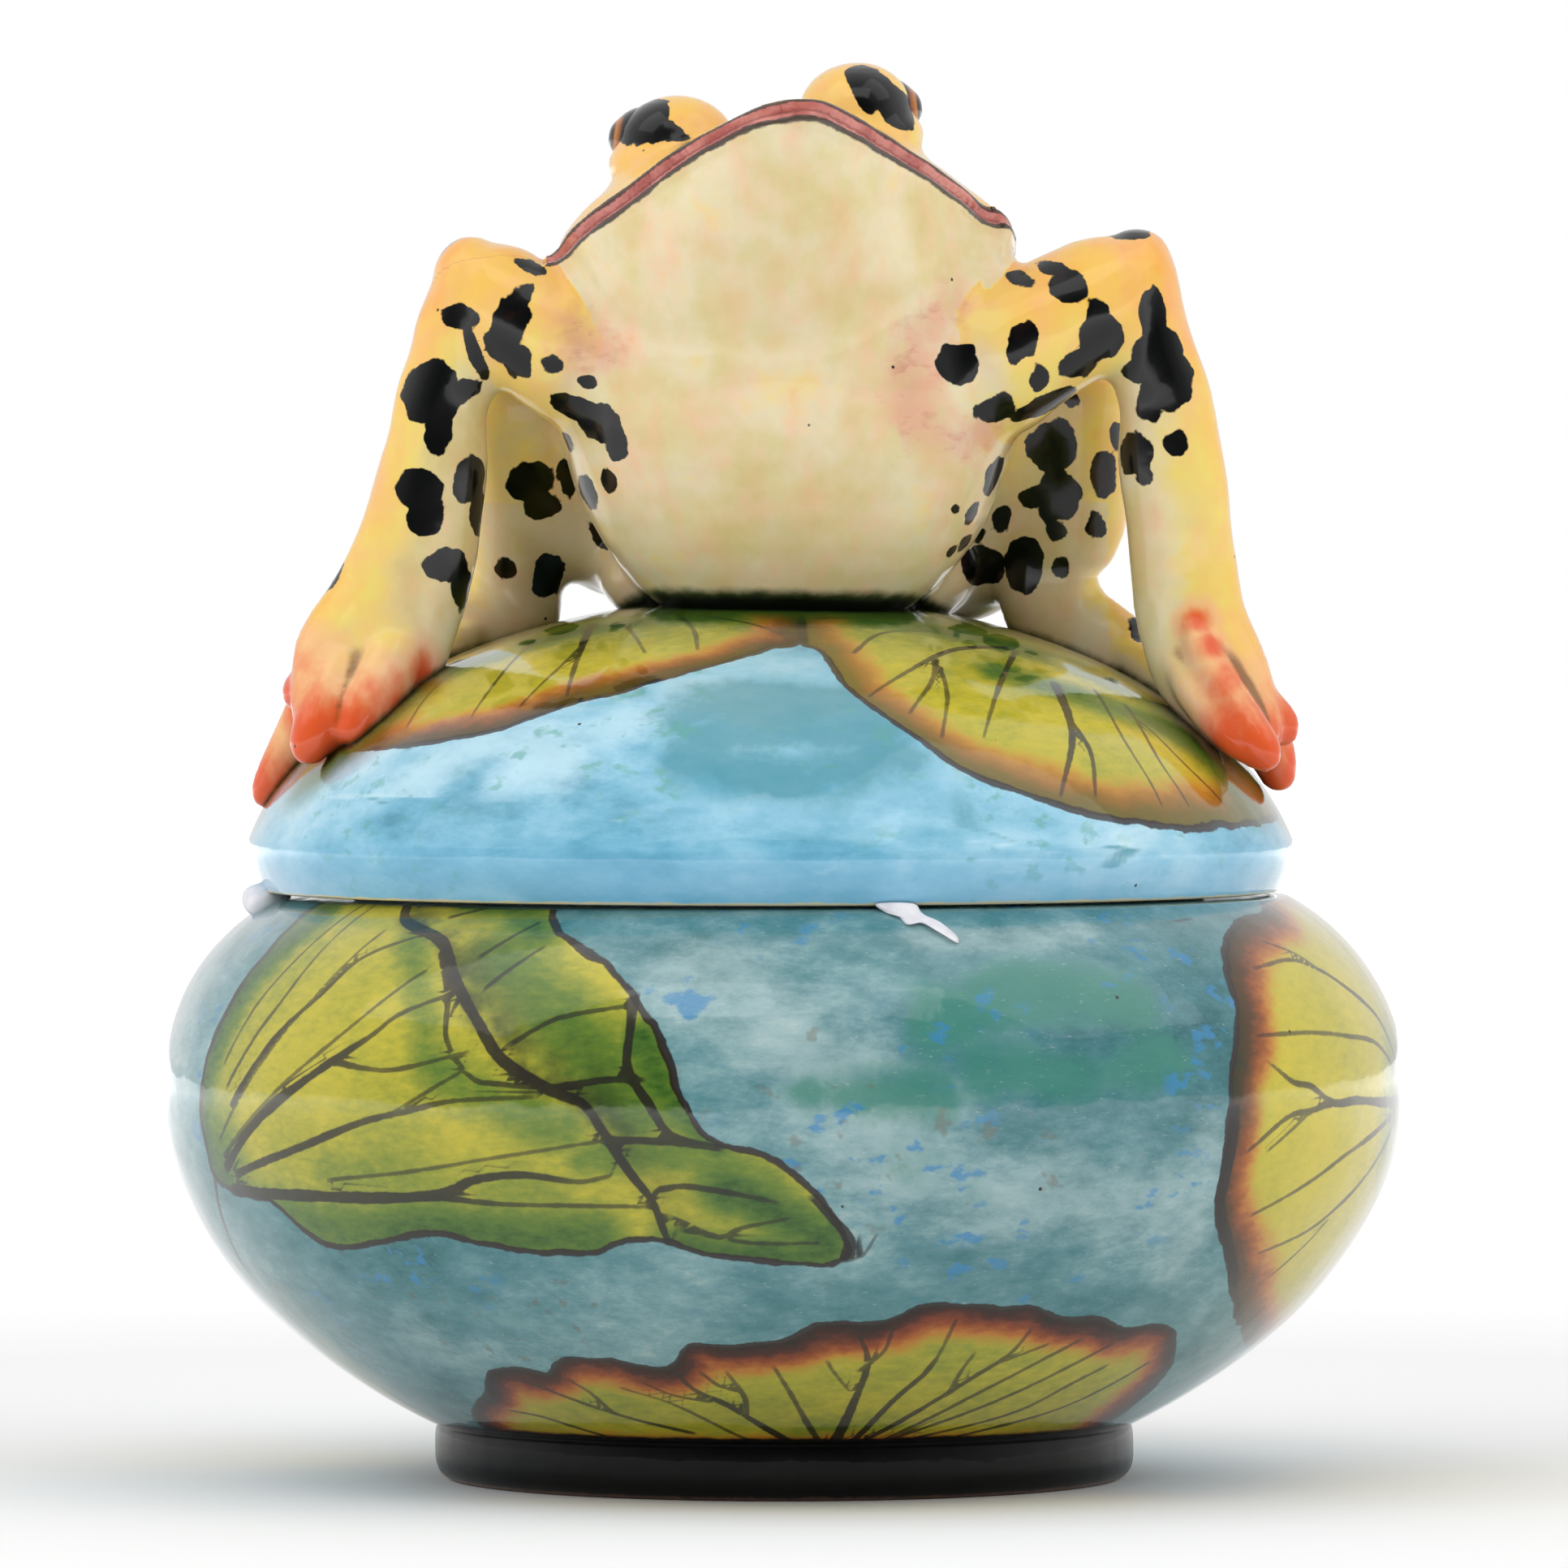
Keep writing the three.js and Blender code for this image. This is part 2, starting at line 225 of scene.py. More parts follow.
class Painting:
    """Signed distances to painted leaves and strokes on one thrown surface, one number a vertex."""

    def __init__(self, chart, azimuth, along):
        self.chart, self.azimuth, self.along = chart, azimuth, along
        count = len(azimuth)
        self.fields = {
            "leaf": np.full(count, OUTSIDE),
            "burnt": np.zeros(count),
            "green": np.zeros(count),
            "tint": np.zeros(count),
            "pale": np.zeros(count),
            "line_far": np.full(count, FAR),
            "line_side": np.full(count, FAR),
            "line_half": np.full(count, 0.5),
            "shadow": np.zeros(count),
        }

    def near(self, places, centre, margin=12):
        flat = self.chart.flat(self.azimuth, self.along, centre)
        line = self.chart.flat(*np.array(places, float).T, centre)
        low, high = line.min(axis=0) - margin, line.max(axis=0) + margin
        close = np.all((flat > low) & (flat < high), axis=1) & (self.along > 0)
        return np.nonzero(close)[0], flat, line

    def leaf(self, centre, outline, burnt, root, green_reach, green=0.0):
        """A leaf: how burnt its edge is, and green that fades away from its root to a floor."""
        picked, flat, line = self.near(outline, centre)
        line = smooth_line(line, 6, closed=True)
        gap, _, _ = to_segments(flat[picked], np.vstack([line, line[:1]]))
        signed = np.where(inside(flat[picked], line), gap, -gap)
        better = signed > self.fields["leaf"][picked]
        chosen = picked[better]
        self.fields["leaf"][chosen] = signed[better]
        self.fields["burnt"][chosen] = burnt
        base = self.chart.flat([root[0]], [root[1]], centre)[0]
        away = np.linalg.norm(flat[chosen] - base, axis=1)
        self.fields["green"][chosen] = np.clip(1 - away / green_reach, green, 1)

    def stroke(self, centre, places, half=0.5, end=0.35, shadow=0.0):
        """A brush stroke that thins from half to end, with an optional dark wash on its right-hand side."""
        picked, flat, line = self.near(places, centre, 12)
        line = smooth_line(line, 6)
        gap, side, share = to_segments(flat[picked], line)
        width = half + (end - half) * share
        old = self.fields["line_far"][picked] - self.fields["line_half"][picked]
        closer = gap - width < old
        chosen = picked[closer]
        self.fields["line_far"][chosen] = gap[closer]
        self.fields["line_side"][chosen] = side[closer]
        self.fields["line_half"][chosen] = width[closer]
        if shadow:
            reach = np.where(side > 0, 6.5, 1.5)
            wash = shadow * np.exp(-((gap / reach) ** 2))
            self.fields["shadow"][picked] = np.maximum(self.fields["shadow"][picked], wash)

    def wash(self, name, centre, places, reach, amount=1.0):
        """A soft band of the field along a line."""
        picked, flat, line = self.near(places, centre, 3 * reach)
        gap, _, _ = to_segments(flat[picked], smooth_line(line, 4))
        band = amount * np.exp(-((gap / reach) ** 2))
        self.fields[name][picked] = np.maximum(self.fields[name][picked], band)

    def store(self, piece):
        for name, values in self.fields.items():
            set_field(piece, name, values)


# ---------------------------------------------------------------- materials


def rgb(code):
    """A linear colour from a web colour."""
    parts = [int(code[i : i + 2], 16) / 255 for i in (0, 2, 4)]
    return (*[c / 12.92 if c < 0.04045 else ((c + 0.055) / 1.055) ** 2.4 for c in parts], 1)


class Glaze:
    """Builds one material. Its methods add shader nodes and return their output sockets."""

    def __init__(self, name, roughness=0.1, coat=1.0, coat_roughness=0.06):
        self.material = bpy.data.materials.new(name)
        self.material.use_nodes = True
        self.tree = self.material.node_tree
        self.shader = self.tree.nodes["Principled BSDF"]
        self.shader.inputs["Roughness"].default_value = roughness
        self.shader.inputs["IOR"].default_value = 1.5
        self.shader.inputs["Specular IOR Level"].default_value = 0.12
        self.shader.inputs["Coat Weight"].default_value = coat
        self.shader.inputs["Coat Roughness"].default_value = coat_roughness
        self.shader.inputs["Coat IOR"].default_value = 1.42
        self.place = self.node("ShaderNodeTexCoord").outputs["Object"]

    def node(self, kind, **settings):
        made = self.tree.nodes.new(kind)
        for name, value in settings.items():
            setattr(made, name, value)
        return made

    def feed(self, socket, value):
        if isinstance(value, bpy.types.NodeSocket):
            self.tree.links.new(value, socket)
        else:
            socket.default_value = value

    def math(self, operation, *values):
        made = self.node("ShaderNodeMath", operation=operation)
        for socket, value in zip(made.inputs, values):
            self.feed(socket, value)
        return made.outputs[0]

    def field(self, name):
        return self.node("ShaderNodeAttribute", attribute_name=name).outputs["Fac"]

    def height(self):
        """The height above the table, in millimetres."""
        split = self.node("ShaderNodeSeparateXYZ")
        self.feed(split.inputs[0], self.place)
        return self.math("MULTIPLY", split.outputs["Z"], 1 / MM)

    def noise(self, size, detail=3.0, stretch=(1, 1, 1), seed=0.0, rough=0.55):
        """Cloudy noise whose blotches are about this size in millimetres."""
        moved = self.node("ShaderNodeMapping")
        self.feed(moved.inputs["Vector"], self.place)
        moved.inputs["Scale"].default_value = [s / (size * MM) for s in stretch]
        moved.inputs["Location"].default_value = (seed, seed * 1.7, seed * 0.6)
        made = self.node("ShaderNodeTexNoise")
        self.feed(made.inputs["Vector"], moved.outputs[0])
        made.inputs["Scale"].default_value = 1
        made.inputs["Detail"].default_value = detail
        made.inputs["Roughness"].default_value = rough
        return made.outputs["Fac"]

    def step(self, value, low, high, top=1.0):
        """0 below low, top above high, smooth between."""
        made = self.node("ShaderNodeMapRange", interpolation_type="SMOOTHSTEP")
        self.feed(made.inputs["Value"], value)
        self.feed(made.inputs["From Min"], low)
        self.feed(made.inputs["From Max"], high)
        made.inputs["To Max"].default_value = top
        return made.outputs[0]

    def fade(self, value, low, high):
        """1 below low, 0 above high, smooth between."""
        return self.math("SUBTRACT", 1, self.step(value, low, high))

    def ramp(self, value, stops):
        made = self.node("ShaderNodeValToRGB")
        ramp = made.color_ramp
        for element, (place, colour) in zip(ramp.elements, (stops[0], stops[-1])):
            element.position = place
            element.color = rgb(colour)
        for place, colour in stops[1:-1]:
            ramp.elements.new(place).color = rgb(colour)
        self.feed(made.inputs[0], value)
        return made.outputs["Color"]

    def mix(self, share, under, over):
        made = self.node("ShaderNodeMix", data_type="RGBA")
        self.feed(made.inputs["Factor"], share)
        self.feed(made.inputs[6], rgb(under) if isinstance(under, str) else under)
        self.feed(made.inputs[7], rgb(over) if isinstance(over, str) else over)
        return made.outputs[2]

    def shift(self, value, noise_socket, reach):
        """The value moved up or down by up to half of reach, by noise."""
        return self.math("MULTIPLY_ADD", self.math("SUBTRACT", noise_socket, 0.5), reach, value)

    def pinholes(self, size=0.5, spacing=9.0, seed=0.0):
        """1 in small round specks scattered about this far apart."""
        moved = self.node("ShaderNodeMapping")
        self.feed(moved.inputs["Vector"], self.place)
        moved.inputs["Scale"].default_value = [1 / (spacing * MM)] * 3
        moved.inputs["Location"].default_value = (seed, seed, seed)
        cells = self.node("ShaderNodeTexVoronoi")
        self.feed(cells.inputs["Vector"], moved.outputs[0])
        cells.inputs["Scale"].default_value = 1
        near = self.math("MULTIPLY", cells.outputs["Distance"], spacing)
        return self.fade(near, size * 0.5, size)

    def finish(self, colour, ripple):
        """Sets the colour, and the waviness of a brushed-on glaze."""
        self.feed(self.shader.inputs["Base Color"], colour)
        waves = self.noise(26, 2)
        peel = self.noise(5, 2, seed=3)
        height = self.math("MULTIPLY_ADD", peel, 0.12, waves)
        bump = self.node("ShaderNodeBump")
        bump.inputs["Distance"].default_value = ripple * MM
        bump.inputs["Strength"].default_value = 1.0
        self.feed(bump.inputs["Height"], height)
        self.feed(self.shader.inputs["Normal"], bump.outputs[0])
        self.feed(self.shader.inputs["Coat Normal"], bump.outputs[0])
        return self.material


def painted_leaves(glaze, under):
    """Lays the leaves and ink strokes of a Painting over a ground colour."""
    ragged = glaze.shift(glaze.field("leaf"), glaze.noise(7, 3, seed=5), 2.2)
    broad = glaze.noise(20, 3, seed=8)
    grain = glaze.noise(3.0, 4, (1, 1, 2.4), seed=2, rough=0.65)
    inner = glaze.shift(glaze.field("green"), broad, 0.5)
    inner = glaze.shift(inner, grain, 0.55)
    flesh = glaze.ramp(inner, [
        (0.0, "CDBD38"), (0.2, "BBB136"), (0.42, "959A32"), (0.65, "68812C"), (0.86, "4A6C28"),
        (1.0, "2F561F"),
    ])
    edge = glaze.shift(glaze.math("DIVIDE", ragged, 11.0), broad, 0.6)
    edge = glaze.shift(edge, grain, 0.35)
    scorch = glaze.ramp(edge, [
        (0.0, "1E0E0A"), (0.2, "4A1B10"), (0.4, "8E4019"), (0.6, "BE722B"), (0.84, "C69A30"),
        (1.0, "C0B232"),
    ])
    burn = glaze.math("MULTIPLY", glaze.field("burnt"), glaze.fade(edge, 0.5, 1.0))
    leaf = glaze.mix(burn, flesh, scorch)
    dark = glaze.math("MULTIPLY", glaze.field("shadow"), glaze.step(glaze.noise(6, 3, seed=11), 0.2, 0.7))
    leaf = glaze.mix(dark, leaf, "17321E")
    colour = glaze.mix(glaze.step(ragged, -0.15, 0.25), under, leaf)
    wobble = glaze.noise(9, 2, seed=14)
    rim = glaze.math("ABSOLUTE", glaze.math("ADD", ragged, 0.1))
    rim_half = glaze.math("MULTIPLY_ADD", wobble, 1.4, -0.1)
    colour = glaze.mix(ink(glaze, rim, rim_half, 0.94), colour, "2A1D1A")
    side = glaze.math("ABSOLUTE", glaze.field("line_side"))
    half = glaze.math("MULTIPLY", glaze.field("line_half"), glaze.math("MULTIPLY_ADD", wobble, 1.0, 0.55))
    stroke = ink(glaze, side, half, glaze.step(half, -0.6, 0.75, 0.93))
    reach = glaze.math("ADD", half, 1.3)
    near = glaze.fade(glaze.field("line_far"), half, reach)
    return glaze.mix(glaze.math("MULTIPLY", stroke, near), colour, "231F1E")


def ink(glaze, distance, half, strength):
    """1 within half of a line's middle, with a soft dry-brush edge."""
    grain = glaze.noise(1.6, 2, seed=21)
    distance = glaze.shift(distance, grain, 0.35)
    outer = glaze.math("ADD", half, 0.22)
    cover = glaze.fade(distance, glaze.math("SUBTRACT", half, 0.12), outer)
    return glaze.math("MULTIPLY", cover, strength)


def bowl_glaze():
    g = Glaze("bowl_glaze", 0.12)
    streak = g.noise(11, 6, (1, 1, 2.2), seed=1, rough=0.7)
    broad = g.noise(52, 3, (1, 1, 1.4), seed=4)
    tone = g.shift(g.shift(0.5, streak, 0.75), broad, 0.75)
    ground = g.ramp(tone, [
        (0.24, "2B6468"), (0.4, "477D83"), (0.53, "618F95"), (0.66, "80A6AA"), (0.82, "B8C7BF"),
    ])
    green = g.step(
        g.shift(g.shift(g.field("tint"), g.noise(15, 5, seed=9, rough=0.65), 1.5), streak, 1.0), 0.35, 1.0,
        0.8,
    )
    pale = g.step(
        g.shift(g.shift(g.field("pale"), g.noise(24, 4, seed=51), 0.9), streak, 0.9), 0.2, 1.1, 0.55,
    )
    ground = g.mix(pale, ground, "BCD0D0")
    ground = g.mix(green, ground, "3F8474")
    fleck = g.step(g.noise(6, 3, (1, 1, 1.6), seed=12), 0.58, 0.66)
    blue = g.math("MULTIPLY", fleck, g.step(g.noise(34, 2, seed=7), 0.5, 0.6, 0.75))
    ground = g.mix(blue, ground, "3A86B8")
    smear = g.step(g.noise(4, 2, seed=31), 0.62, 0.72)
    brown = g.math("MULTIPLY", smear, g.step(g.noise(50, 2, seed=17), 0.54, 0.62, 0.4))
    ground = g.mix(brown, ground, "6D5A3E")
    crackle = g.step(g.noise(1.8, 4, (1, 1, 3), seed=41, rough=0.7), 0.6, 0.75, 0.35)
    ground = g.mix(crackle, ground, "C6D2C8")
    colour = painted_leaves(g, ground)
    foot_line = g.fade(g.shift(g.height(), g.noise(5, 2, seed=3), 0.8), 10.6, 11.4)
    colour = g.mix(foot_line, colour, "090A0A")
    colour = g.mix(g.field("bare"), colour, "D9E2DC")
    colour = g.mix(g.pinholes(0.45, 13), colour, "2A2522")
    return g.finish(colour, 0.5)


def lid_glaze():
    g = Glaze("lid_glaze", 0.12)
    streak = g.noise(12, 6, (1, 1, 2.4), seed=2, rough=0.66)
    broad = g.noise(44, 3, seed=6)
    tone = g.shift(g.shift(0.5, streak, 0.6), broad, 0.8)
    ground = g.ramp(tone, [
        (0.26, "4C93AC"), (0.4, "70B2CC"), (0.54, "93C9DF"), (0.68, "B4DBEA"), (0.82, "D2E8E6"),
    ])
    green = g.step(
        g.shift(g.shift(g.field("tint"), g.noise(14, 5, seed=13, rough=0.65), 1.5), streak, 1.0), 0.3, 0.95,
        0.78,
    )
    pale = g.step(
        g.shift(g.shift(g.field("pale"), g.noise(20, 4, seed=52), 0.9), streak, 0.9), 0.2, 1.1, 0.7,
    )
    ground = g.mix(pale, ground, "C4E6F2")
    ground = g.mix(green, ground, "4590A0")
    fleck = g.step(g.noise(5, 3, (1, 1, 1.5), seed=61), 0.56, 0.68)
    moss = g.math("MULTIPLY", fleck, g.step(g.noise(30, 2, seed=62), 0.46, 0.6, 0.6))
    ground = g.mix(moss, ground, "5AA396")
    band = g.step(g.shift(g.height(), broad, 6), 113, 105, 0.45)
    ground = g.mix(band, ground, "7ABADF")
    colour = painted_leaves(g, ground)
    # Painted shade: dark green, then near-black, on the lid around where the frog's body and feet rest on
    # it.
    contact_shade = g.shift(g.field("contact"), g.noise(4, 3, seed=15), 2.6)
    colour = g.mix(g.fade(contact_shade, 1.5, 12), colour, "42621C")
    colour = g.mix(g.fade(contact_shade, 0.6, 2.6), colour, "141C12")
    bare_edge = LID_LIP_Z + 0.45
    clay = g.fade(g.shift(g.height(), g.noise(4, 2, seed=3), 0.6), bare_edge, bare_edge + 0.2)
    colour = g.mix(clay, colour, "D8CBA6")
    colour = g.mix(g.field("bare"), colour, "DCE5E2")
    colour = g.mix(g.pinholes(0.45, 14, 2), colour, "2F3335")
    return g.finish(colour, 0.5)


def foot_glaze():
    g = Glaze("foot_glaze", 0.3, 0.22)
    worn = g.fade(g.shift(g.height(), g.noise(3, 3), 0.9), 0.2, 0.9)
    colour = g.ramp(g.noise(9, 4, (1, 1, 2)), [(0.3, "060607"), (0.75, "0E0F10")])
    return g.finish(g.mix(worn, colour, "6A4A36"), 0.5)


def frog_glaze():
    g = Glaze("frog_glaze", 0.28, 0.8, 0.1)
    cloud = g.noise(15, 4, seed=3)
    grain = g.noise(3.5, 3, seed=6)
    cream = g.ramp(g.shift(cloud, grain, 0.2), [
        (0.28, "D3C183"), (0.44, "DBCC97"), (0.58, "E2D6B3"), (0.74, "E6D6A6"),
    ])
    warm = g.shift(g.shift(g.field("ochre"), cloud, 0.9), grain, 0.3)
    colour = g.mix(g.step(warm, 0.1, 0.55), cream, "EBD470")
    colour = g.mix(g.step(warm, 0.45, 0.95), colour, "EFC05A")
    colour = g.mix(
        g.step(g.shift(warm, g.noise(7, 3, (1, 1, 0.35), seed=9), 0.8), 0.95, 1.4, 0.6), colour, "EF9A3C",
    )
    blush = g.step(g.shift(g.shift(g.field("blush"), cloud, 1.0), grain, 0.9), 0.2, 1.05, 0.7)
    colour = g.mix(blush, colour, "D99A86")
    rosy = g.math("MULTIPLY", blush, g.step(g.noise(4.5, 3, (1, 1, 2.2), seed=33), 0.5, 0.66, 0.7))
    colour = g.mix(rosy, colour, "BC7468")
    reddened = g.shift(g.shift(g.field("toe"), g.noise(6, 3, (1, 1, 0.5), seed=5), 0.8), grain, 0.3)
    colour = g.mix(g.step(reddened, -0.15, 0.4, 0.6), colour, "F2AE8C")
    colour = g.mix(g.step(reddened, 0.3, 0.95, 0.94), colour, "E04E1C")
    shape = g.shift(g.shift(g.field("spot"), g.noise(5.6, 1, seed=7), 3.2), g.noise(2.2, 2, seed=8), 1.5)
    ground = g.mix(g.step(g.noise(9, 2, seed=19), 0.6, 0.72, 0.7), "050607", "22110A")
    colour = g.mix(g.step(shape, -0.12, 0.18, 1.0), colour, ground)
    # Painted shade: brown in the joins between the fingers, darker where they lie deeper.
    colour = g.mix(g.step(g.shift(g.field("crease"), grain, 0.12), 0.05, 0.32, 0.8), colour, "6E4A1E")
    lip = g.field("lip")
    off = g.shift(lip, g.noise(5, 2, seed=23), 0.5)
    pink = g.ramp(g.noise(6, 3, seed=26), [(0.35, "A9524A"), (0.65, "CF8579")])
    band = g.math("ABSOLUTE", off)
    colour = g.mix(g.fade(band, 1.35, 1.6), colour, pink)
    centre = g.fade(band, 0.1, 0.35)
    colour = g.mix(g.math("MULTIPLY", centre, 0.5), colour, "7C3A38")
    line = g.math("ABSOLUTE", g.math("SUBTRACT", band, 1.7))
    uneven = g.math("MULTIPLY_ADD", g.noise(8, 2, seed=29), 1.1, -0.1)
    colour = g.mix(ink(g, line, uneven, 0.92), colour, "2E2226")
    # Painted shade: the skin turns dark green, then near-black, low down where the frog sits on the lid.
    base = g.shift(g.field("contact"), g.noise(3, 3, seed=15), 1.5)
    colour = g.mix(g.fade(base, 2.4, 4.6), colour, "3A4420")
    colour = g.mix(g.fade(base, 1.6, 3.2), colour, "11140D")
    colour = g.mix(g.pinholes(0.4, 11, 4), colour, "3A3128")
    return g.finish(colour, 0.45)


def eye_glaze():
    g = Glaze("eye_glaze", 0.08)
    gaze = g.shift(g.field("gaze"), g.noise(3, 2), 0.1)
    colour = g.ramp(gaze, [
        (0.0, "0C0B0A"), (0.27, "120F0D"), (0.33, "B8742A"), (0.43, "8A4A1E"), (0.5, "141214"),
    ])
    return g.finish(colour, 0.2)


def bare_clay():
    g = Glaze("bare_clay", 0.75, 0.0)
    colour = g.ramp(g.noise(8, 5), [(0.3, "CDBF9C"), (0.7, "E2D8BE")])
    return g.finish(g.mix(g.pinholes(0.5, 6), colour, "9A8863"), 0.8)


def white_putty():
    g = Glaze("white_putty", 0.5, 0.0)
    colour = g.ramp(g.noise(4, 3), [(0.3, "DAD8DE"), (0.7, "F2F1F4")])
    return g.finish(colour, 0.9)


# ---------------------------------------------------------------- bowl, foot and lid


def thrown_wobble(amount, seed):
    """The slight out-of-round and the finger rings of a hand-thrown wall."""

    def warp(vertices):
        turn = np.radians(azimuth_of(vertices))
        z = vertices[:, 2]
        off = 0.5 * np.sin(2 * turn + seed + z / 60) + 0.3 * np.sin(3 * turn - seed)
        off = off + 0.2 * np.sin(z / 4.1 + turn)
        radius = np.hypot(vertices[:, 0], vertices[:, 1])
        grow = 1 + amount * off * np.clip(radius / 20, 0, 1) / np.maximum(radius, 1)
        return vertices * np.column_stack([grow, grow, np.ones(len(z))])

    return warp


def shoulder_at(inset, start, end, steps):
    half = (SHOULDER[0] - inset, SHOULDER[1] - inset)
    return arc(BELLY_R - SHOULDER[0], BELLY_Z, half, start, end, steps)


def flank_at(inset, start, end, steps):
    half = (FLANK[0] - inset, FLANK[1] - inset)
    return arc(BELLY_R - FLANK[0], BELLY_Z, half, start, end, steps)


BOWL_OUTER = np.vstack([
    flank_at(0, angle_at(9.9, BELLY_Z, FLANK[1]), 0, 84),
    shoulder_at(0, 0, angle_at(RIM_Z - 0.6, BELLY_Z, SHOULDER[1]), 56)[1:],
])


def make_bowl(material):
    rim = [
        (84.2, RIM_Z - 0.1), (83, RIM_Z), (MOUTH_R + 2, RIM_Z), (MOUTH_R + 0.5, RIM_Z - 0.4),
        (MOUTH_R, RIM_Z - 1.6),
    ]
    floor_angle = angle_at(FLOOR_Z + 2.5, BELLY_Z, FLANK[1] - WALL)
    hollow = np.vstack([shoulder_at(WALL, 74, 0, 12), flank_at(WALL, 0, floor_angle, 14)[1:]])
    under = [
        (0, RECESS_Z), (FOOT_BORE_R - 1, RECESS_Z), (FOOT_BORE_R - 0.3, RECESS_Z + 0.7),
        (FOOT_BORE_R - 0.3, 9.9),
    ]
    profile = np.vstack([
        under, BOWL_OUTER, rim, hollow, [(56, FLOOR_Z + 0.5), (50, FLOOR_Z), (0, FLOOR_Z)],
    ])
    vertices, faces = revolve(profile, COLUMNS, thrown_wobble(0.45, 1.0))
    bowl = make_object("bowl_pot", vertices, faces, material)
    first = 1 + 3 * COLUMNS  # after the pole and the three rings under the pot
    end = first + len(BOWL_OUTER) * COLUMNS
    outer = np.zeros(len(vertices), bool)
    outer[first:end] = True
    azimuth = azimuth_of(vertices)
    along = np.where(outer, vertices[:, 2], -1)
    painting = Painting(BowlChart(BOWL_OUTER), azimuth, along)
    paint_bowl(painting)
    painting.store(bowl)
    bare = np.zeros(len(vertices))
    bare[end + COLUMNS :] = 1
    bare[:first] = 1
    set_field(bowl, "bare", bare)
    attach(bowl, "jar")
    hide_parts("bowl")


def make_foot(material):
    profile = np.array([
        (FOOT_BORE_R, 1.2), (FOOT_BORE_R + 0.4, 0.3), (FOOT_BORE_R + 1.4, 0), (FOOT_R - 3.2, 0),
        (FOOT_R - 1.6, 0.5), (FOOT_R - 0.6, 1.6), (FOOT_R - 0.1, 3.2), (FOOT_R, 5), (FOOT_R - 0.1, 8),
        (FOOT_R - 0.5, 9.3), (FOOT_R - 1.6, FOOT_TOP), (FOOT_BORE_R, FOOT_TOP),
    ])
    vertices, faces = revolve(
        densify(smooth_line(profile, 4, closed=True), 1.2), 240, thrown_wobble(0.3, 2.0),
    )
    foot = make_object("foot", vertices, faces, material)
    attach(foot, "jar")
    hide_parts("foot_ring")


def dome_height(radius):
    return DOME_Z + DOME_RISE * np.sqrt(np.maximum(0, 1 - (np.asarray(radius) / DOME_R) ** 2))


def above_dome(points):
    radius = np.hypot(points[:, 0] - LID_SHIFT, points[:, 1])
    return points[:, 2] - dome_height(np.minimum(radius, DOME_R - 0.1))


LID_LIP_Z = RIM_Z + 0.15  # the glazed edge hangs down to the bowl's rim

LID_OUTER = np.vstack([
    smooth_line([
        (LID_EDGE_R - 0.4, LID_LIP_Z + 0.2), (LID_EDGE_R, LID_LIP_Z + 0.8),
        (LID_EDGE_R + 1.4, LID_Z + 2.8), (LID_BULGE_R, LID_Z + 5.6),
    ], 4)[:-1],
    arc(0, DOME_Z, (DOME_R, DOME_RISE), angle_at(110, DOME_Z, DOME_RISE), 90, 118)[:-1],
])


def make_lid(material, frog_surface):
    inner = (DOME_R - DOME_WALL, DOME_RISE - DOME_WALL)
    start = math.degrees(math.acos((LID_HOLLOW_R - 1) / inner[0]))
    hollow = arc(0, DOME_Z, inner, 90, start, 26)[1:]
    profile = np.vstack([LID_OUTER, [(0, DOME_Z + DOME_RISE)]])
    lip = [(LID_HOLLOW_R, LID_Z), (LID_EDGE_R - 4, LID_Z), (LID_EDGE_R - 1.4, LID_LIP_Z)]
    under = np.vstack([[(0, DOME_Z + inner[1])], hollow, lip])
    top, top_faces = revolve(profile, COLUMNS, thrown_wobble(0.4, 2.6))
    low, low_faces = revolve(under, COLUMNS)
    shift = len(top)
    vertices = np.vstack([top, low]) + np.array((LID_SHIFT, 0, 0))
    faces = top_faces + [tuple(i + shift for i in face) for face in low_faces]
    last = len(vertices) - COLUMNS
    for i in range(COLUMNS):
        j = (i + 1) % COLUMNS
        faces.append((last + i, last + j, j, i))
    lid = make_object("lid_cover", vertices, faces, material)
    radius = np.hypot(vertices[:, 0], vertices[:, 1])
    outer = np.arange(len(vertices)) < shift
    along = np.where(outer & (vertices[:, 2] > 106), np.maximum(radius, 0.01), -1)
    painting = Painting(
        LidChart(np.vstack([LID_OUTER, [(0, DOME_Z + DOME_RISE)]])), azimuth_of(vertices), along,
    )
    paint_lid(painting)
    painting.store(lid)
    set_field(lid, "bare", np.where(outer, 0, 1))
    contact = np.full(len(vertices), 30.0)
    for i in np.nonzero(outer)[0]:
        hit = frog_surface.find_nearest(Vector(vertices[i]), 14)
        if hit[0] is not None:
            contact[i] = hit[3]
    set_field(lid, "contact", contact)
    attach(lid, "lid")
    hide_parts("lid_dome")


def make_flange(material):
    low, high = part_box("lid_flange")
    outer, bottom, top = high[0] / MM, low[2] / MM, high[2] / MM + 0.3
    inner = outer - 5.8
    profile = np.array([
        (inner, bottom + 1.5), (inner + 0.5, bottom + 0.4), (inner + 1.6, bottom), (outer - 1.6, bottom),
        (outer - 0.5, bottom + 0.4), (outer, bottom + 1.5), (outer, top), (inner, top),
    ])
    vertices, faces = revolve(densify(profile, 1.0), 240, thrown_wobble(0.2, 0.4))
    vertices = vertices + np.array((RING_SHIFT, 0, 0))
    flange = make_object("lid_locating_ring", vertices, faces, material)
    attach(flange, "lid")
    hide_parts("lid_flange")


# ---------------------------------------------------------------- the painting on the bowl

FOLDED_LEAF = -30  # azimuths round which each leaf is drawn
LOW_LEAF = 5
SIDE_LEAF = 80
BACK_LEAF = 168
REAR_LEAF = -118


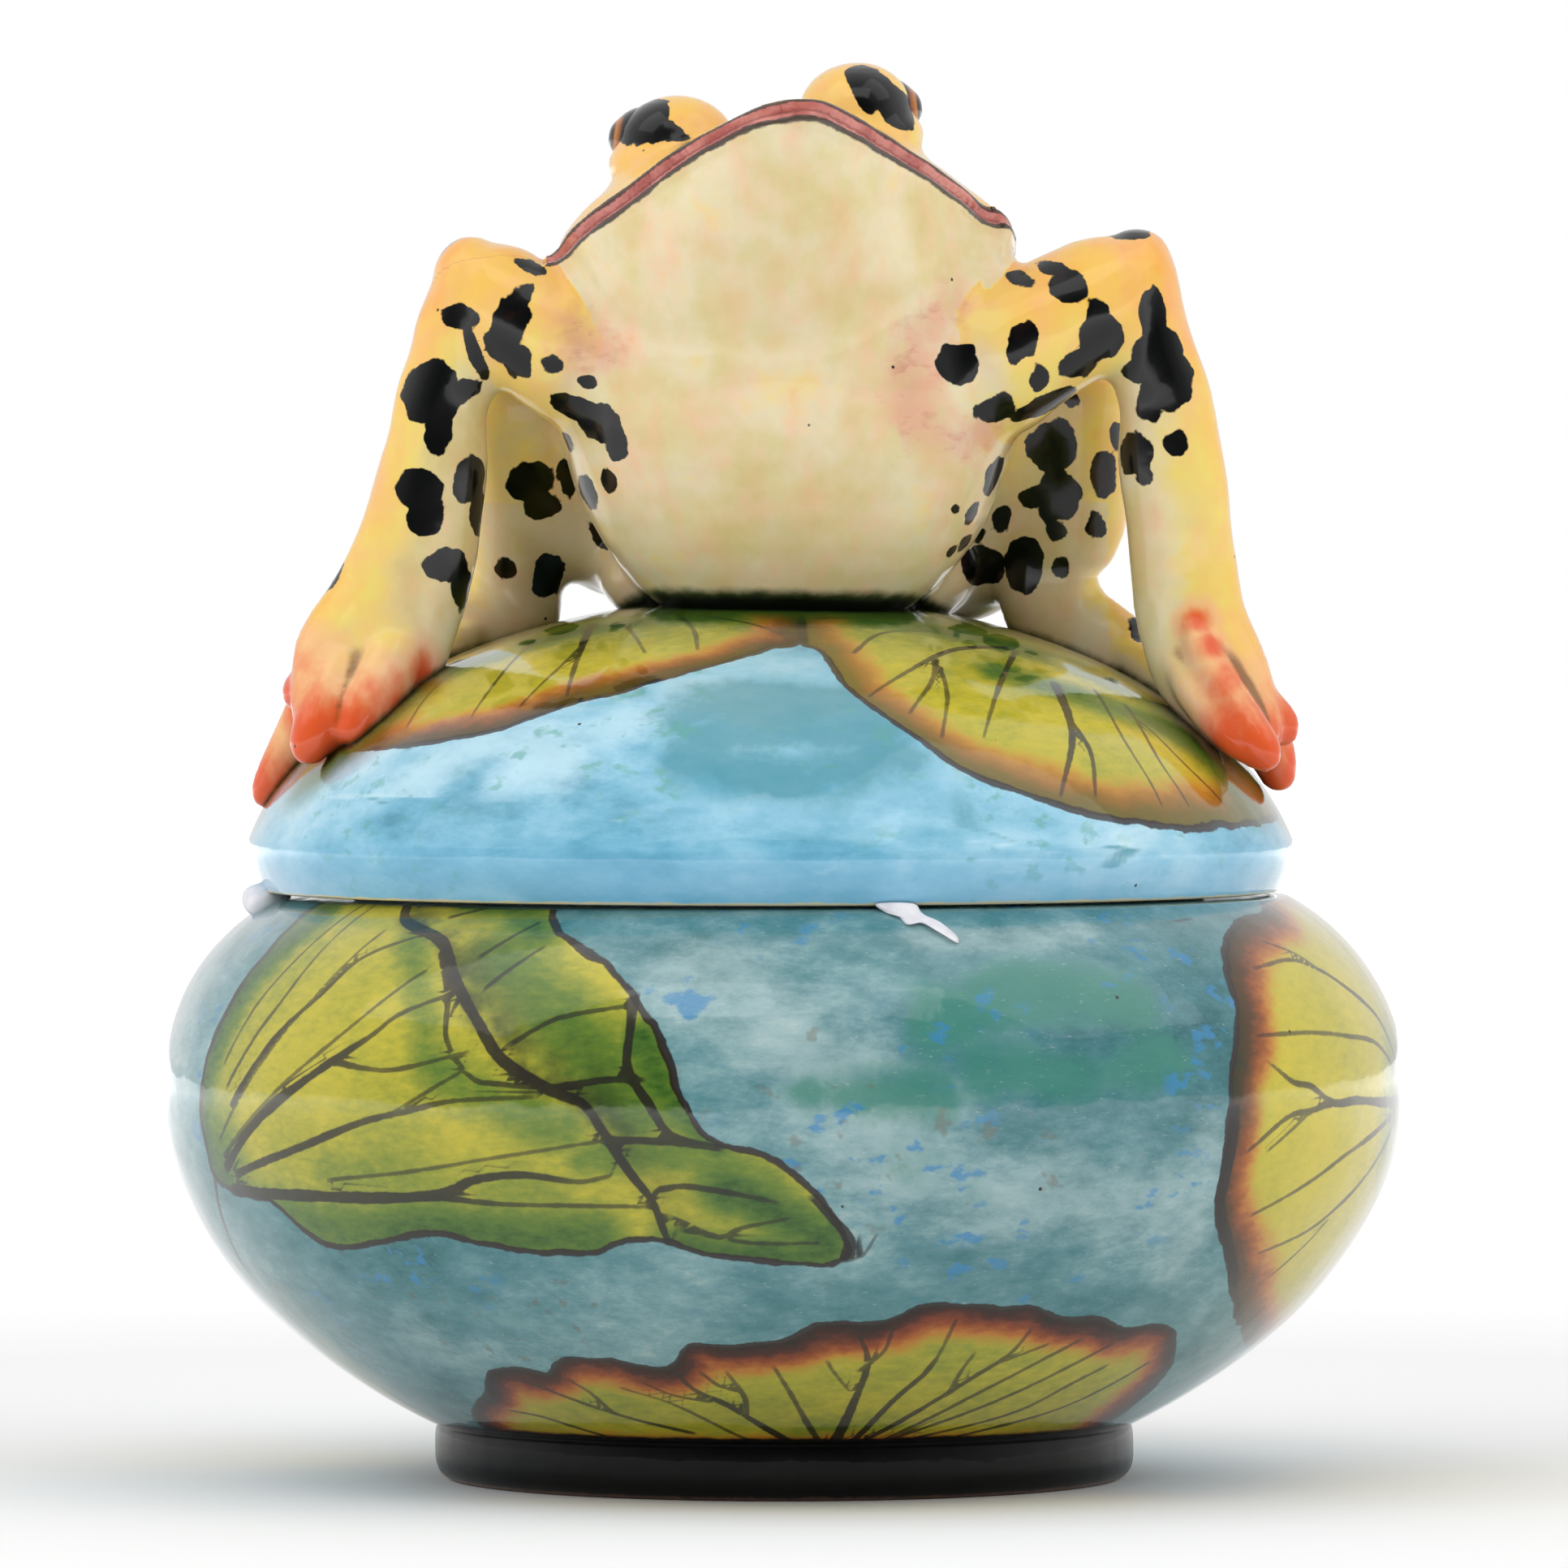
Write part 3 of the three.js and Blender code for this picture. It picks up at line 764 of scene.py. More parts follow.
def paint_bowl(p):
    folded = [
        (-62, 103), (-63, 92), (-65, 80), (-67, 68), (-67, 58), (-66, 53), (-56, 50), (-50, 44),
        (-42, 44.5), (-35, 47), (-29, 45), (-20, 44), (-15, 46.5), (-11, 46.5), (-7, 44), (-1, 43),
        (4, 42.5), (6, 45), (4, 52), (-1, 60), (-6, 63), (-8.5, 68), (-12, 82), (-17, 91), (-24, 97),
        (-29, 104), (-45, 108),
    ]
    p.leaf(FOLDED_LEAF, folded, 0, (-66, 54), 24, 0.26)
    for places, reach, amount in [
        ([(-60, 98), (-63, 88), (-66, 74), (-67, 60), (-65, 53)], 7, 0.95),
        ([(-60, 49), (-50, 46), (-42, 46), (-34, 48), (-26, 46), (-18, 46)], 8, 0.85),
        ([(-46, 56), (-34, 55), (-22, 54)], 8, 0.45),
        ([(-10, 45), (-3, 44), (4, 44), (5, 50)], 6, 0.9),
        ([(-18, 60), (-8, 61), (-1, 57)], 5, 0.65),
        ([(-5, 55), (0, 51), (3, 47)], 7, 0.98),
        ([(-41, 95), (-38, 90), (-35, 82), (-34, 76)], 5.5, 0.6),
        ([(-33, 75), (-28, 70), (-20, 65)], 6.5, 0.66),
        ([(-29, 93), (-23, 86), (-18, 78), (-13, 69)], 9.5, 0.74),
        ([(-36, 103), (-30, 100), (-26, 96)], 6, 0.8),
        ([(-13, 80), (-10, 70), (-6, 63)], 5, 0.9),
    ]:
        p.wash("green", FOLDED_LEAF, places, reach, amount)
    fold = [
        (-47, 102), (-44, 98), (-37, 95), (-33, 89), (-29, 82), (-26, 76), (-21, 71), (-18, 69), (-16, 64),
    ]
    p.stroke(FOLDED_LEAF, fold, 1.05, 0.8, shadow=0.9)
    p.stroke(FOLDED_LEAF, [(-16, 64), (-14, 58), (-12, 53), (-11, 47)], 0.8, 0.6, shadow=0.3)
    p.stroke(FOLDED_LEAF, [(6, 44), (6, 47), (3, 53)], 1.2, 0.7)
    p.stroke(FOLDED_LEAF, [(-36, 93), (-33, 86), (-32, 79), (-29, 73), (-26, 72), (-21, 71.5)], 0.5, 0.4)
    p.stroke(FOLDED_LEAF, [(-21, 71.5), (-16, 73), (-13, 73)], 0.6, 0.4)
    p.stroke(FOLDED_LEAF, [(-14, 86), (-14, 81), (-14, 75), (-12, 69), (-10, 64), (-6, 62)], 0.8, 0.55)
    p.stroke(FOLDED_LEAF, [(-16, 63), (-11, 63), (-6, 62)], 0.6, 0.5)
    p.stroke(FOLDED_LEAF, [(-11, 55), (-9, 55.5), (-5, 54.5), (-1, 53)], 0.65, 0.3)
    p.stroke(FOLDED_LEAF, [(-10, 50), (-6, 47), (-4, 48.5), (0, 50)], 0.4, 0.3)
    p.stroke(FOLDED_LEAF, [(-9, 48), (-3, 46), (3, 46)], 0.4, 0.3)
    for places, half in [
        ([(-63, 56), (-55, 65), (-47, 73), (-41, 79), (-38, 83), (-32, 87)], 0.9),
        ([(-45, 75), (-41, 74), (-37, 74), (-30, 77)], 0.5),
        ([(-60, 67), (-54, 78), (-49, 86), (-46, 92), (-40, 96)], 0.65),
        ([(-61, 55), (-50, 60), (-41, 65), (-36, 67), (-31, 69), (-23, 70)], 0.75),
        ([(-37, 67), (-34, 70), (-30, 74)], 0.35),
        ([(-63, 52), (-48, 52), (-34, 53), (-29, 56), (-24, 57), (-19, 56), (-16, 57)], 1.1),
        ([(-34, 53), (-27, 52), (-20, 52), (-13, 52)], 0.55),
        ([(-46, 55), (-36, 57), (-26, 60), (-16, 63)], 0.3),
        ([(-63, 58), (-53, 69), (-44, 80), (-37, 90)], 0.28),
        ([(-63, 61), (-57, 71), (-50, 85), (-46, 96)], 0.3),
        ([(-61, 70), (-57, 79), (-54, 87), (-52, 100)], 0.35),
        ([(-62, 74), (-59, 83), (-56, 92), (-54, 101)], 0.3),
    ]:
        p.stroke(FOLDED_LEAF, places, half, VEIN_TIP)
    for places in [
        [(-29, 88), (-25, 94)], [(-31, 93), (-27, 98)], [(-38, 99), (-34, 101)],
        [(-25, 79), (-21, 83), (-15, 85)],
    ]:
        p.stroke(FOLDED_LEAF, places, 0.45, 0.3)
    p.stroke(FOLDED_LEAF, [(6, 43), (7.5, 44), (8.5, 47)], 0.3, 0.2)
    p.stroke(FOLDED_LEAF, [(-67, 54), (-70, 46), (-73, 36), (-75, 26)], 0.6, 0.4)

    low = [
        (-53, 11), (-50, 14), (-42, 18), (-38, 22), (-33, 23), (-29, 22), (-26, 25), (-20, 25), (-17, 24),
        (-13, 24), (-10, 28), (-5, 28), (0, 29), (4, 32), (10, 32), (14, 35), (19, 34.5), (26, 34),
        (30, 32), (35, 32), (39, 30), (46, 29.5), (50, 26), (55, 20), (58, 12), (50, 5), (10, 5), (-45, 5),
    ]
    p.leaf(LOW_LEAF, low, 1.0, (9, 6), 26, 0.32)
    for places, half in [
        ([(8, 11), (9, 18), (9.5, 25), (8, 30)], 0.95), ([(9, 24), (11, 27), (11.5, 31)], 0.35),
        ([(8, 20), (6, 23), (5, 25)], 0.3), ([(5, 11), (1, 19), (-1, 24)], 0.5),
        ([(0, 11), (-7, 17), (-11, 20), (-13, 24)], 0.7), ([(-5, 15), (-5, 19), (-6.5, 23)], 0.45),
        ([(-6, 20), (-8, 21), (-9.5, 23)], 0.35), ([(-10, 18), (-14, 19), (-17, 21)], 0.35),
        ([(-6, 11), (-14, 17), (-20, 20)], 0.35), ([(-14, 12), (-23, 15), (-32, 20)], 0.5),
        ([(-24, 16), (-25, 19), (-26.5, 21)], 0.35), ([(-29, 11), (-36, 14), (-41, 15)], 0.4),
        ([(11, 11), (14, 18), (17, 24), (18, 32)], 0.65),
        ([(13, 11), (19, 17), (23, 22), (26, 26), (27, 30)], 0.6), ([(21, 19), (21, 23), (21.5, 26)], 0.35),
        ([(26, 25), (30, 27.5)], 0.3), ([(16, 11), (24, 18), (30, 24), (34, 28)], 0.45),
        ([(17, 11), (28, 17), (35, 23), (39, 27)], 0.5), ([(21, 11), (33, 15), (38, 20), (41, 23)], 0.4),
        ([(28, 11), (40, 15), (45, 19), (48, 23)], 0.4),
    ]:
        p.stroke(LOW_LEAF, places, half, VEIN_TIP)

    side = [
        (72, 103), (66, 99), (58, 97.5), (52, 95), (48, 89), (47, 83), (45, 76), (44, 70), (44, 57),
        (44.5, 50), (48, 43), (53, 36), (61, 29), (74, 24), (90, 25), (104, 33), (115, 48), (118, 64),
        (115, 80), (106, 93), (94, 103), (84, 107),
    ]
    p.leaf(SIDE_LEAF, side, 0.95, (80, 66), 20, 0.1)
    for places, half in [
        ([(79, 71), (75, 80), (70, 85), (65, 89), (60, 91), (53, 90)], 0.7),
        ([(65, 89), (62, 92), (58, 94)], 0.3), ([(79, 69), (72, 76), (64, 78), (57, 79), (49, 79)], 0.45),
        ([(80, 66), (74, 66), (65, 67), (60, 67), (56, 70), (53, 71), (50, 74)], 0.9),
        ([(60, 67), (56, 66), (52, 65), (47, 60)], 0.6), ([(56, 66), (53, 63), (50, 60)], 0.35),
        ([(78, 64), (73, 62), (64, 58), (58, 54), (50, 49)], 0.55),
        ([(78, 62), (73, 56), (66, 49), (61, 45), (54, 42)], 0.55), ([(65, 47), (62, 42), (59, 38)], 0.3),
        ([(80, 62), (79, 48), (76, 32)], 0.6), ([(82, 62), (88, 46), (93, 32)], 0.5),
        ([(84, 64), (96, 54), (107, 44)], 0.6), ([(85, 66), (98, 66), (111, 64)], 0.7),
        ([(84, 69), (97, 78), (109, 84)], 0.55), ([(98, 66), (104, 60), (110, 58)], 0.35),
        ([(82, 71), (88, 84), (94, 97)], 0.6), ([(80, 71), (79, 86), (79, 100)], 0.45),
    ]:
        p.stroke(SIDE_LEAF, places, half, VEIN_TIP)

    for places, reach, amount in [
        ([(14, 83), (24, 87), (34, 85)], 8, 1.05), ([(18, 75), (28, 73), (37, 75)], 7, 1.0),
        ([(3, 71), (14, 70)], 6, 0.9), ([(-40, 32), (-30, 30), (-22, 34)], 8, 0.5),
        ([(10, 60), (16, 52)], 8, 0.5), ([(120, 88), (150, 94)], 9, 0.8),
        ([(-150, 90), (-120, 84)], 9, 0.8), ([(130, 40), (140, 30)], 9, 0.6),
    ]:
        p.wash("tint", 0, places, reach, amount)
    for places, reach, amount in [
        ([(-8, 90), (2, 78), (8, 66)], 13, 0.9), ([(8, 60), (24, 52), (38, 50)], 12, 0.7),
        ([(14, 96), (32, 96)], 5, 0.8), ([(-78, 90), (-82, 70), (-80, 50)], 12, 0.9),
        ([(-46, 28), (-34, 22)], 8, 0.5), ([(42, 60), (42, 40)], 7, 0.7),
        ([(-170, 80), (-150, 60)], 16, 0.8), ([(130, 60), (124, 40)], 12, 0.8),
    ]:
        p.wash("pale", 0, places, reach, amount)

    p.stroke(SIDE_LEAF, [(44.6, 66), (44.2, 56), (44.8, 50), (48, 43.5), (52, 37.5)], 1.2, 0.9)
    p.wash("shadow", SIDE_LEAF, [(45.5, 73), (46, 66)], 3.4, 0.8)

    paint_pad(p, BACK_LEAF, 62, 34, 31, 0.9, seed=3)
    paint_pad(p, REAR_LEAF, 44, 33, 27, 0.35, seed=8)


def paint_pad(p, azimuth, height, wide, tall, burnt, seed):
    """A lily pad seen flat, with a wavy edge and veins that fan and fork from its middle."""
    rng = np.random.default_rng(seed)
    degrees = math.degrees(1 / 105)
    turns = np.radians(np.arange(0, 360, 15))
    outline = []
    for turn in turns:
        swell = 1 + rng.uniform(-0.07, 0.07)
        across = azimuth + wide * swell * math.cos(turn) * degrees
        outline.append((across, height + tall * swell * math.sin(turn)))
    p.leaf(azimuth, outline, burnt, (azimuth, height), 24)
    for k in range(11):
        turn = math.radians(k * 360 / 11 + rng.uniform(-8, 8))
        reach = rng.uniform(0.78, 0.92)
        bend = rng.uniform(-0.16, 0.16)
        places = []
        for share in (0.06, 0.4, 0.72, 1.0):
            swing = turn + bend * share
            across = azimuth + wide * reach * share * math.cos(swing) * degrees
            places.append((across, height + tall * reach * share * math.sin(swing)))
        p.stroke(azimuth, places, 0.75, VEIN_TIP)
        fork = turn + (0.22 if k % 2 else -0.22)
        tip = (azimuth + wide * 0.85 * math.cos(fork) * degrees, height + tall * 0.85 * math.sin(fork))
        p.stroke(azimuth, [places[1], tip], 0.4, 0.25)


def paint_lid(p):
    for places, reach, amount in [
        ([(-12, 70), (0, 67), (14, 70)], 10, 1.05), ([(-12, 80), (2, 82), (14, 78)], 8, 1.0),
        ([(-10, 75), (12, 74)], 7, 1.1), ([(-62, 86), (-50, 88)], 5, 0.7),
        ([(38, 88), (48, 89), (60, 90)], 6, 0.9), ([(20, 84), (26, 88)], 4, 0.6),
    ]:
        p.wash("tint", 0, places, reach, amount)
    for places, reach, amount in [
        ([(-60, 88), (-44, 82), (-28, 80)], 10, 1.0), ([(-34, 84), (-16, 72)], 8, 0.8),
        ([(20, 88), (44, 90), (60, 91)], 6, 0.7), ([(-20, 88), (10, 90)], 5, 0.5),
        ([(150, 86), (-160, 86)], 8, 0.8),
    ]:
        p.wash("pale", 0, places, reach, amount)
    left = [
        (3, 45), (-3, 49), (-10, 55), (-18, 61), (-25, 66), (-32, 70), (-38, 75), (-46, 78), (-58, 80.5),
        (-71, 81), (-86, 79), (-98, 70), (-104, 52), (-100, 30), (-20, 8), (6, 20),
    ]
    p.leaf(0, left, 0.9, (-60, 18), 52, 0.2)
    right = [
        (4, 45), (7, 50), (10, 63), (14, 70), (18, 76), (23, 80.5), (29, 83), (36, 85), (43, 86),
        (55, 86.5), (73, 86), (88, 84), (100, 74), (106, 54), (100, 30), (30, 8), (7, 20),
    ]
    p.leaf(0, right, 0.75, (60, 18), 54, 0.2)
    for places, reach in [
        ([(-70, 62), (-60, 52), (-50, 41), (-20, 33)], 8), ([(66, 60), (58, 50), (45, 41), (20, 33)], 8),
        ([(-92, 60), (-84, 72)], 8), ([(40, 58), (52, 66), (64, 74)], 6), ([(-8, 38), (0, 46)], 6),
    ]:
        p.wash("green", 0, places, reach, 0.85)
    for azimuth, seed in ((150, 4), (-152, 9)):
        rng = np.random.default_rng(seed)
        arch = np.radians(range(0, 180, 15))
        far = [(azimuth + 40 * math.cos(t), 60 + (22 + rng.uniform(-2, 2)) * math.sin(t)) for t in arch]
        p.leaf(0, far + [(azimuth - 36, 30), (azimuth, 14), (azimuth + 36, 30)], 0.8, (azimuth, 24), 48)
        for k in range(-3, 4):
            places = [(azimuth + k * 3, 30), (azimuth + k * 7, 52), (azimuth + k * 10, 72 - abs(k) * 2)]
            p.stroke(0, places, 0.6, VEIN_TIP)
    for places, half in [
        ([(-55, 40), (-40, 54), (-33, 67)], 0.75), ([(-43, 50), (-40, 59), (-39, 70)], 0.35),
        ([(-59, 50), (-49, 65), (-46, 73)], 0.4), ([(-66, 60), (-62, 68), (-57, 76)], 0.35),
        ([(-38, 30), (-22, 41), (-17, 50)], 0.4), ([(-42, 40), (-27, 52)], 0.35),
        ([(-24, 32), (-8, 37), (0, 43)], 0.4), ([(-80, 52), (-78, 64), (-76, 75)], 0.5),
        ([(4, 45), (5, 36), (6, 26)], 0.9), ([(51, 48), (36, 49), (22, 57), (13, 65)], 0.7),
        ([(29, 53), (24, 61), (18, 69)], 0.5), ([(28, 56), (25, 65), (21, 74)], 0.45),
        ([(52, 50), (35, 63), (27, 74)], 0.5), ([(48, 62), (41, 74), (34, 83)], 1.0),
        ([(43, 70), (42, 77), (39, 83)], 0.6), ([(56, 64), (50, 75), (49, 84)], 0.4),
        ([(59, 68), (54, 78), (54, 84)], 0.4), ([(58, 72), (59, 79), (62, 84)], 0.35),
        ([(12, 32), (31, 31), (44, 33)], 0.4), ([(14, 50), (24, 41), (41, 40)], 0.4),
        ([(80, 50), (80, 64), (79, 78)], 0.5), ([(92, 50), (92, 62), (90, 74)], 0.4),
    ]:
        p.stroke(0, places, half, VEIN_TIP)


# ---------------------------------------------------------------- the frog's clay


def loft(stations, around=24, steps=7, up=(0, 1, 0), edge=1.0):
    """A rolled form through stations of [x, y, z, half width, half height above, below].

    The width is measured across up, and edge above 1 draws each ring out to a sharper edge.
    """
    full = [(*s[:4], *(s[4:] or s[3:4])) for s in stations]
    line = smooth_line([s if len(s) == 6 else (*s, s[4]) for s in full], steps)
    centre, sizes = line[:, :3], np.maximum(line[:, 3:], 0.4)
    tangent = np.gradient(centre, axis=0)
    tangent /= np.linalg.norm(tangent, axis=1)[:, None]
    side = np.cross(tangent, up)
    side /= np.linalg.norm(side, axis=1)[:, None]
    high = np.cross(side, tangent)
    turn = np.linspace(0, 2 * math.pi, around, endpoint=False)
    lift = np.sign(np.sin(turn)) * np.abs(np.sin(turn)) ** edge
    tall = np.where(lift[None, :] > 0, sizes[:, 1:2], sizes[:, 2:3])
    rings = (
        centre[:, None, :]
        + side[:, None, :] * (np.cos(turn)[None, :] * sizes[:, :1])[:, :, None]
        + high[:, None, :] * (lift[None, :] * tall)[:, :, None]
    )
    count = len(centre)
    vertices = np.vstack([rings.reshape(-1, 3), centre[:1], centre[-1:]])
    faces = wall(count, around)
    start, end = count * around, count * around + 1
    for i in range(around):
        j = (i + 1) % around
        faces.append((start, j, i))
        faces.append((end, (count - 1) * around + i, (count - 1) * around + j))
    return vertices, faces


def egg(centre, radii, around=40):
    """An egg with radii (x, y, up, down)."""
    rise = np.linspace(-90, 90, around // 2)
    profile = np.column_stack([np.cos(np.radians(rise)), np.sin(np.radians(rise))])
    profile[0, 0] = profile[-1, 0] = 0
    vertices, faces = revolve(profile, around)
    tall = np.where(vertices[:, 2] > 0, radii[2], radii[3])
    sizes = np.column_stack([np.full(len(tall), radii[0]), np.full(len(tall), radii[1]), tall])
    return vertices * sizes + centre, faces


def wall(rings, around):
    """The faces between rings of vertices that are stored one after another."""
    faces = []
    for k in range(rings - 1):
        for i in range(around):
            j = (i + 1) % around
            faces.append((k * around + i, k * around + j, (k + 1) * around + j, (k + 1) * around + i))
    return faces


def joined(*shells):
    """Several shells as one list of vertices and faces."""
    vertices, faces, count = [], [], 0
    for points, sides in shells:
        vertices.append(points)
        faces += [tuple(i + count for i in side) for side in sides]
        count += len(points)
    return np.vstack(vertices), faces


JAW_CORNER = np.array((0, -8, 210.0))
JAW_TIP = np.array((0, -50, 234.8))
HEAD_TURN = Matrix.Rotation(math.radians(5), 3, "Z") @ Matrix.Rotation(math.radians(-3.5), 3, "Y")
HEAD_TURN = np.array(HEAD_TURN)
MOUTH_NORMAL = HEAD_TURN @ (np.array((0, 26, 42)) / math.hypot(26, 42))
LIP_DROP = 1.6  # the lips meet this far below the widest line of the head

# Each eye: the middle and radii of the brow, then of the lower lid, then the middle of the ball.
EYES = {
    "left": ((-18.4, -14, 229.4), (10.2, 11, 8.5), (-24, -15, 226), (6, 9, 5), (-23.8, -13.5, 230.2)),
    "right": ((12.4, -16, 234.8), (9.8, 11, 8.7), (18.6, -17, 231), (5.4, 9, 5), (17.4, -15, 235.2)),
}
EYE_R = 5.8


def above_mouth(points):
    """Signed distance from where the lips meet, a plane that tips up towards the snout."""
    return (points - JAW_CORNER) @ MOUTH_NORMAL + LIP_DROP


def head_shell():
    def on_jaw(share, wide, up, down, lean=0.0):
        x, y, z = JAW_CORNER + (JAW_TIP - JAW_CORNER) * share
        return (x - lean, y, z, wide + lean, up, down)

    vertices, faces = loft([
        on_jaw(-1.25, 3, 2, 2), on_jaw(-1.15, 10, 8, 5), on_jaw(-0.95, 20, 13, 10),
        on_jaw(-0.65, 29, 17, 18),
        on_jaw(-0.32, 36, 19, 28), on_jaw(0, 39.3, 19, 36, 0.4), on_jaw(0.09, 37.8, 18, 35, 1.0),
        on_jaw(0.18, 35.6, 17, 34, 1.4),
        on_jaw(0.37, 30.3, 14, 29, 1.3), on_jaw(0.65, 20, 8.5, 18, 1.3), on_jaw(0.85, 12, 4.5, 9.5, 0.7),
        on_jaw(0.97, 6.4, 2.2, 4), on_jaw(1.01, 2, 1, 1.5),
    ], 48, 7, (0, 0, 1), 1.2)
    return (vertices - JAW_CORNER) @ HEAD_TURN.T + JAW_CORNER, faces


def head_parts():
    brows = []
    for brow, radii, lid, lid_radii, _ in EYES.values():
        brows.append(egg(brow, (*radii, radii[2] + 4)))
        brows.append(egg(lid, (*lid_radii, lid_radii[2])))
    return joined(head_shell(), *brows)


def torso_parts():
    belly = egg((0.6, -8, 188), (39.6, 31, 26, 45), 56)
    rump = loft([
        (0, 0, 190, 18, 12, 20), (0, 10, 184, 33, 24, 34), (0, 24, 174, 34.5, 24, 27),
        (0, 38, 165, 28, 18, 18), (0, 48, 158, 16, 10, 10), (0, 54, 153, 4, 3, 3),
    ], 36, 7, (0, 0, 1))
    seat = egg((0.5, 13, 156), (33, 21, 14, 14), 48)
    return joined(belly, rump, seat)


def toe(*stations):
    return loft(stations, 14, 5)


def foreleg_left():
    upper = loft([
        (-20, -7, 187, 9, 9), (-29, -11, 190.5, 12.6, 12), (-37, -14.5, 194.5, 12.2, 12.3),
        (-44.5, -15.2, 199.4, 10.8, 11), (-50, -14, 204.8, 9, 9.4), (-53, -13, 208, 6.4, 7.4),
        (-54.8, -13, 209.6, 3, 4),
    ], 32, 6)
    lower = loft([
        (-54, -13, 213.4, 1.6, 3), (-54, -13, 211.6, 3.6, 5.6), (-54, -13, 207, 5.8, 8),
        (-54.6, -12.5, 200, 7.6, 8.8), (-56.4, -12.6, 192, 8, 8.6), (-58.7, -13, 185, 8, 8.4),
        (-59.9, -13.5, 175, 9.2, 8.2), (-61.8, -14, 165, 10, 8), (-63.9, -14.4, 157, 10.8, 7.8),
        (-67.2, -15.5, 149, 11.8, 7.2), (-71.4, -18.5, 141, 12.6, 6.2), (-74.6, -22, 135, 10.8, 5.2),
        (-77.6, -25.6, 130, 7.4, 4.4), (-79, -28, 127, 3, 2.6),
    ], 32, 6)
    return joined(
        upper, lower, egg((-53.6, -13, 206), (6.6, 8.6, 7.7, 8)),
        toe((-73, -14, 146, 3), (-78.6, -18, 139.6, 4), (-82.6, -19, 135, 3.8), (-84.4, -19, 133, 2)),
        toe(
            (-72, -13, 146, 4), (-79.5, -9.5, 135, 4.8), (-84.6, -6, 126, 4.2), (-88.8, -3.4, 118.4, 3.2),
            (-90, -2.6, 116, 1.5),
        ),
        toe(
            (-71, -15, 147, 3.4), (-76, -23, 137.4, 5), (-79.4, -27.4, 130, 4.6), (-81.4, -29, 125.8, 3.2),
            (-82.2, -29.6, 124, 1.4),
        ),
        toe((-64, -14, 149, 4), (-67.4, -21, 140.4, 6), (-71.6, -27.6, 132.6, 5), (-74.4, -31, 127.6, 2)),
        toe((-67, -8, 146, 4), (-74, 3, 136, 4.8), (-79, 9, 129, 4), (-82, 12, 125, 1.8)),
    )


def foreleg_right():
    upper = loft([
        (19, -7, 186, 9, 9), (27, -11, 188.5, 13.4, 12.4), (35.5, -15, 192.5, 13.6, 13.4),
        (43, -16, 196.5, 12, 12.5), (50, -15.5, 200.6, 11.4, 11.4), (56, -14, 204.6, 10.2, 10.4),
        (60.2, -13, 208, 7.4, 8.6), (62.6, -12.6, 210, 3.4, 4.6),
    ], 32, 6)
    lower = loft([
        (60.2, -12.8, 214.6, 2, 3), (60.6, -12.8, 212.2, 4.6, 6), (61.4, -12.6, 207, 6, 8.4),
        (62, -12.6, 200, 7, 8.8), (63.4, -13, 192, 7.8, 8.6), (65.4, -13.4, 185, 8.2, 8.2),
        (66.2, -13.8, 175, 9.1, 8), (67.6, -14, 165, 8.9, 7.9), (68.9, -14.2, 155, 9.1, 7.6),
        (70.3, -15, 147, 9.3, 7), (72.8, -17, 140, 9.6, 6.2), (76.6, -20, 133.6, 8.4, 5),
        (80.4, -23, 128, 5.6, 3.8), (82.4, -24.6, 125, 2.4, 2.2),
    ], 32, 6)
    return joined(
        upper, lower, egg((60.2, -13, 206.4), (7, 9, 8.6, 8)),
        toe((74, -15, 143, 3), (80.4, -18, 135, 4), (85, -18.4, 129.6, 3.8), (87.2, -18, 127.4, 1.8)),
        toe(
            (68.6, -20, 150, 1.4), (72, -23.2, 141, 3.4), (76.8, -27, 132.6, 4.2), (81.2, -30, 126, 3.8),
            (83.4, -31, 123.2, 1.6),
        ),
        toe(
            (73, -11, 143, 4), (80, -9, 133, 4.6), (83.8, -8, 125, 4.2), (85.2, -8, 120.6, 3),
            (85.6, -8, 118.8, 1.4),
        ),
        toe(
            (66, -17, 143, 2.6), (70.2, -23.4, 136, 3.6), (74.6, -27.6, 130.4, 3.6),
            (78.4, -30, 126.4, 2.8), (80, -31, 124.8, 1.2),
        ),
        toe((68, -8, 146, 4), (75, 4, 135, 4.6), (79, 11, 128, 3.8), (81, 14, 125, 1.8)),
    )


def hindleg(side, stations, toes):
    def mirrored(runs):
        return [(side * s[0], *s[1:]) for s in runs]

    return joined(loft(mirrored(stations), 28, 6), *[toe(*mirrored(run)) for run in toes])


def hindleg_left():
    return hindleg(-1, [
        (12, 30, 158, 9, 9), (20, 30, 161, 12, 13), (30, 25, 167, 14.5, 14), (40, 16, 178, 13),
        (46, 9, 185, 10), (48, 10, 182.5, 9), (47, 15, 174, 8.6), (46.4, 19, 164, 8.4),
        (46.6, 22, 154, 8.4, 7), (48.8, 20, 147.4, 8.8, 5), (57, 17, 142.5, 8, 3.8),
        (63, 15, 139.5, 3, 2.2),
    ], [
        [(54, 16, 145, 3.2), (59, 10, 142, 4), (62.5, 7, 139.5, 3.6), (64.5, 5.5, 138, 1.6)],
        [(56, 19, 144, 3.2), (66, 18, 137.5, 4.2), (73, 19, 132, 3.6), (75.5, 19.5, 130, 1.6)],
        [(54, 22, 145, 3.2), (62, 29, 137.5, 4.2), (67, 34, 132, 3.6), (69, 36, 130, 1.6)],
    ])


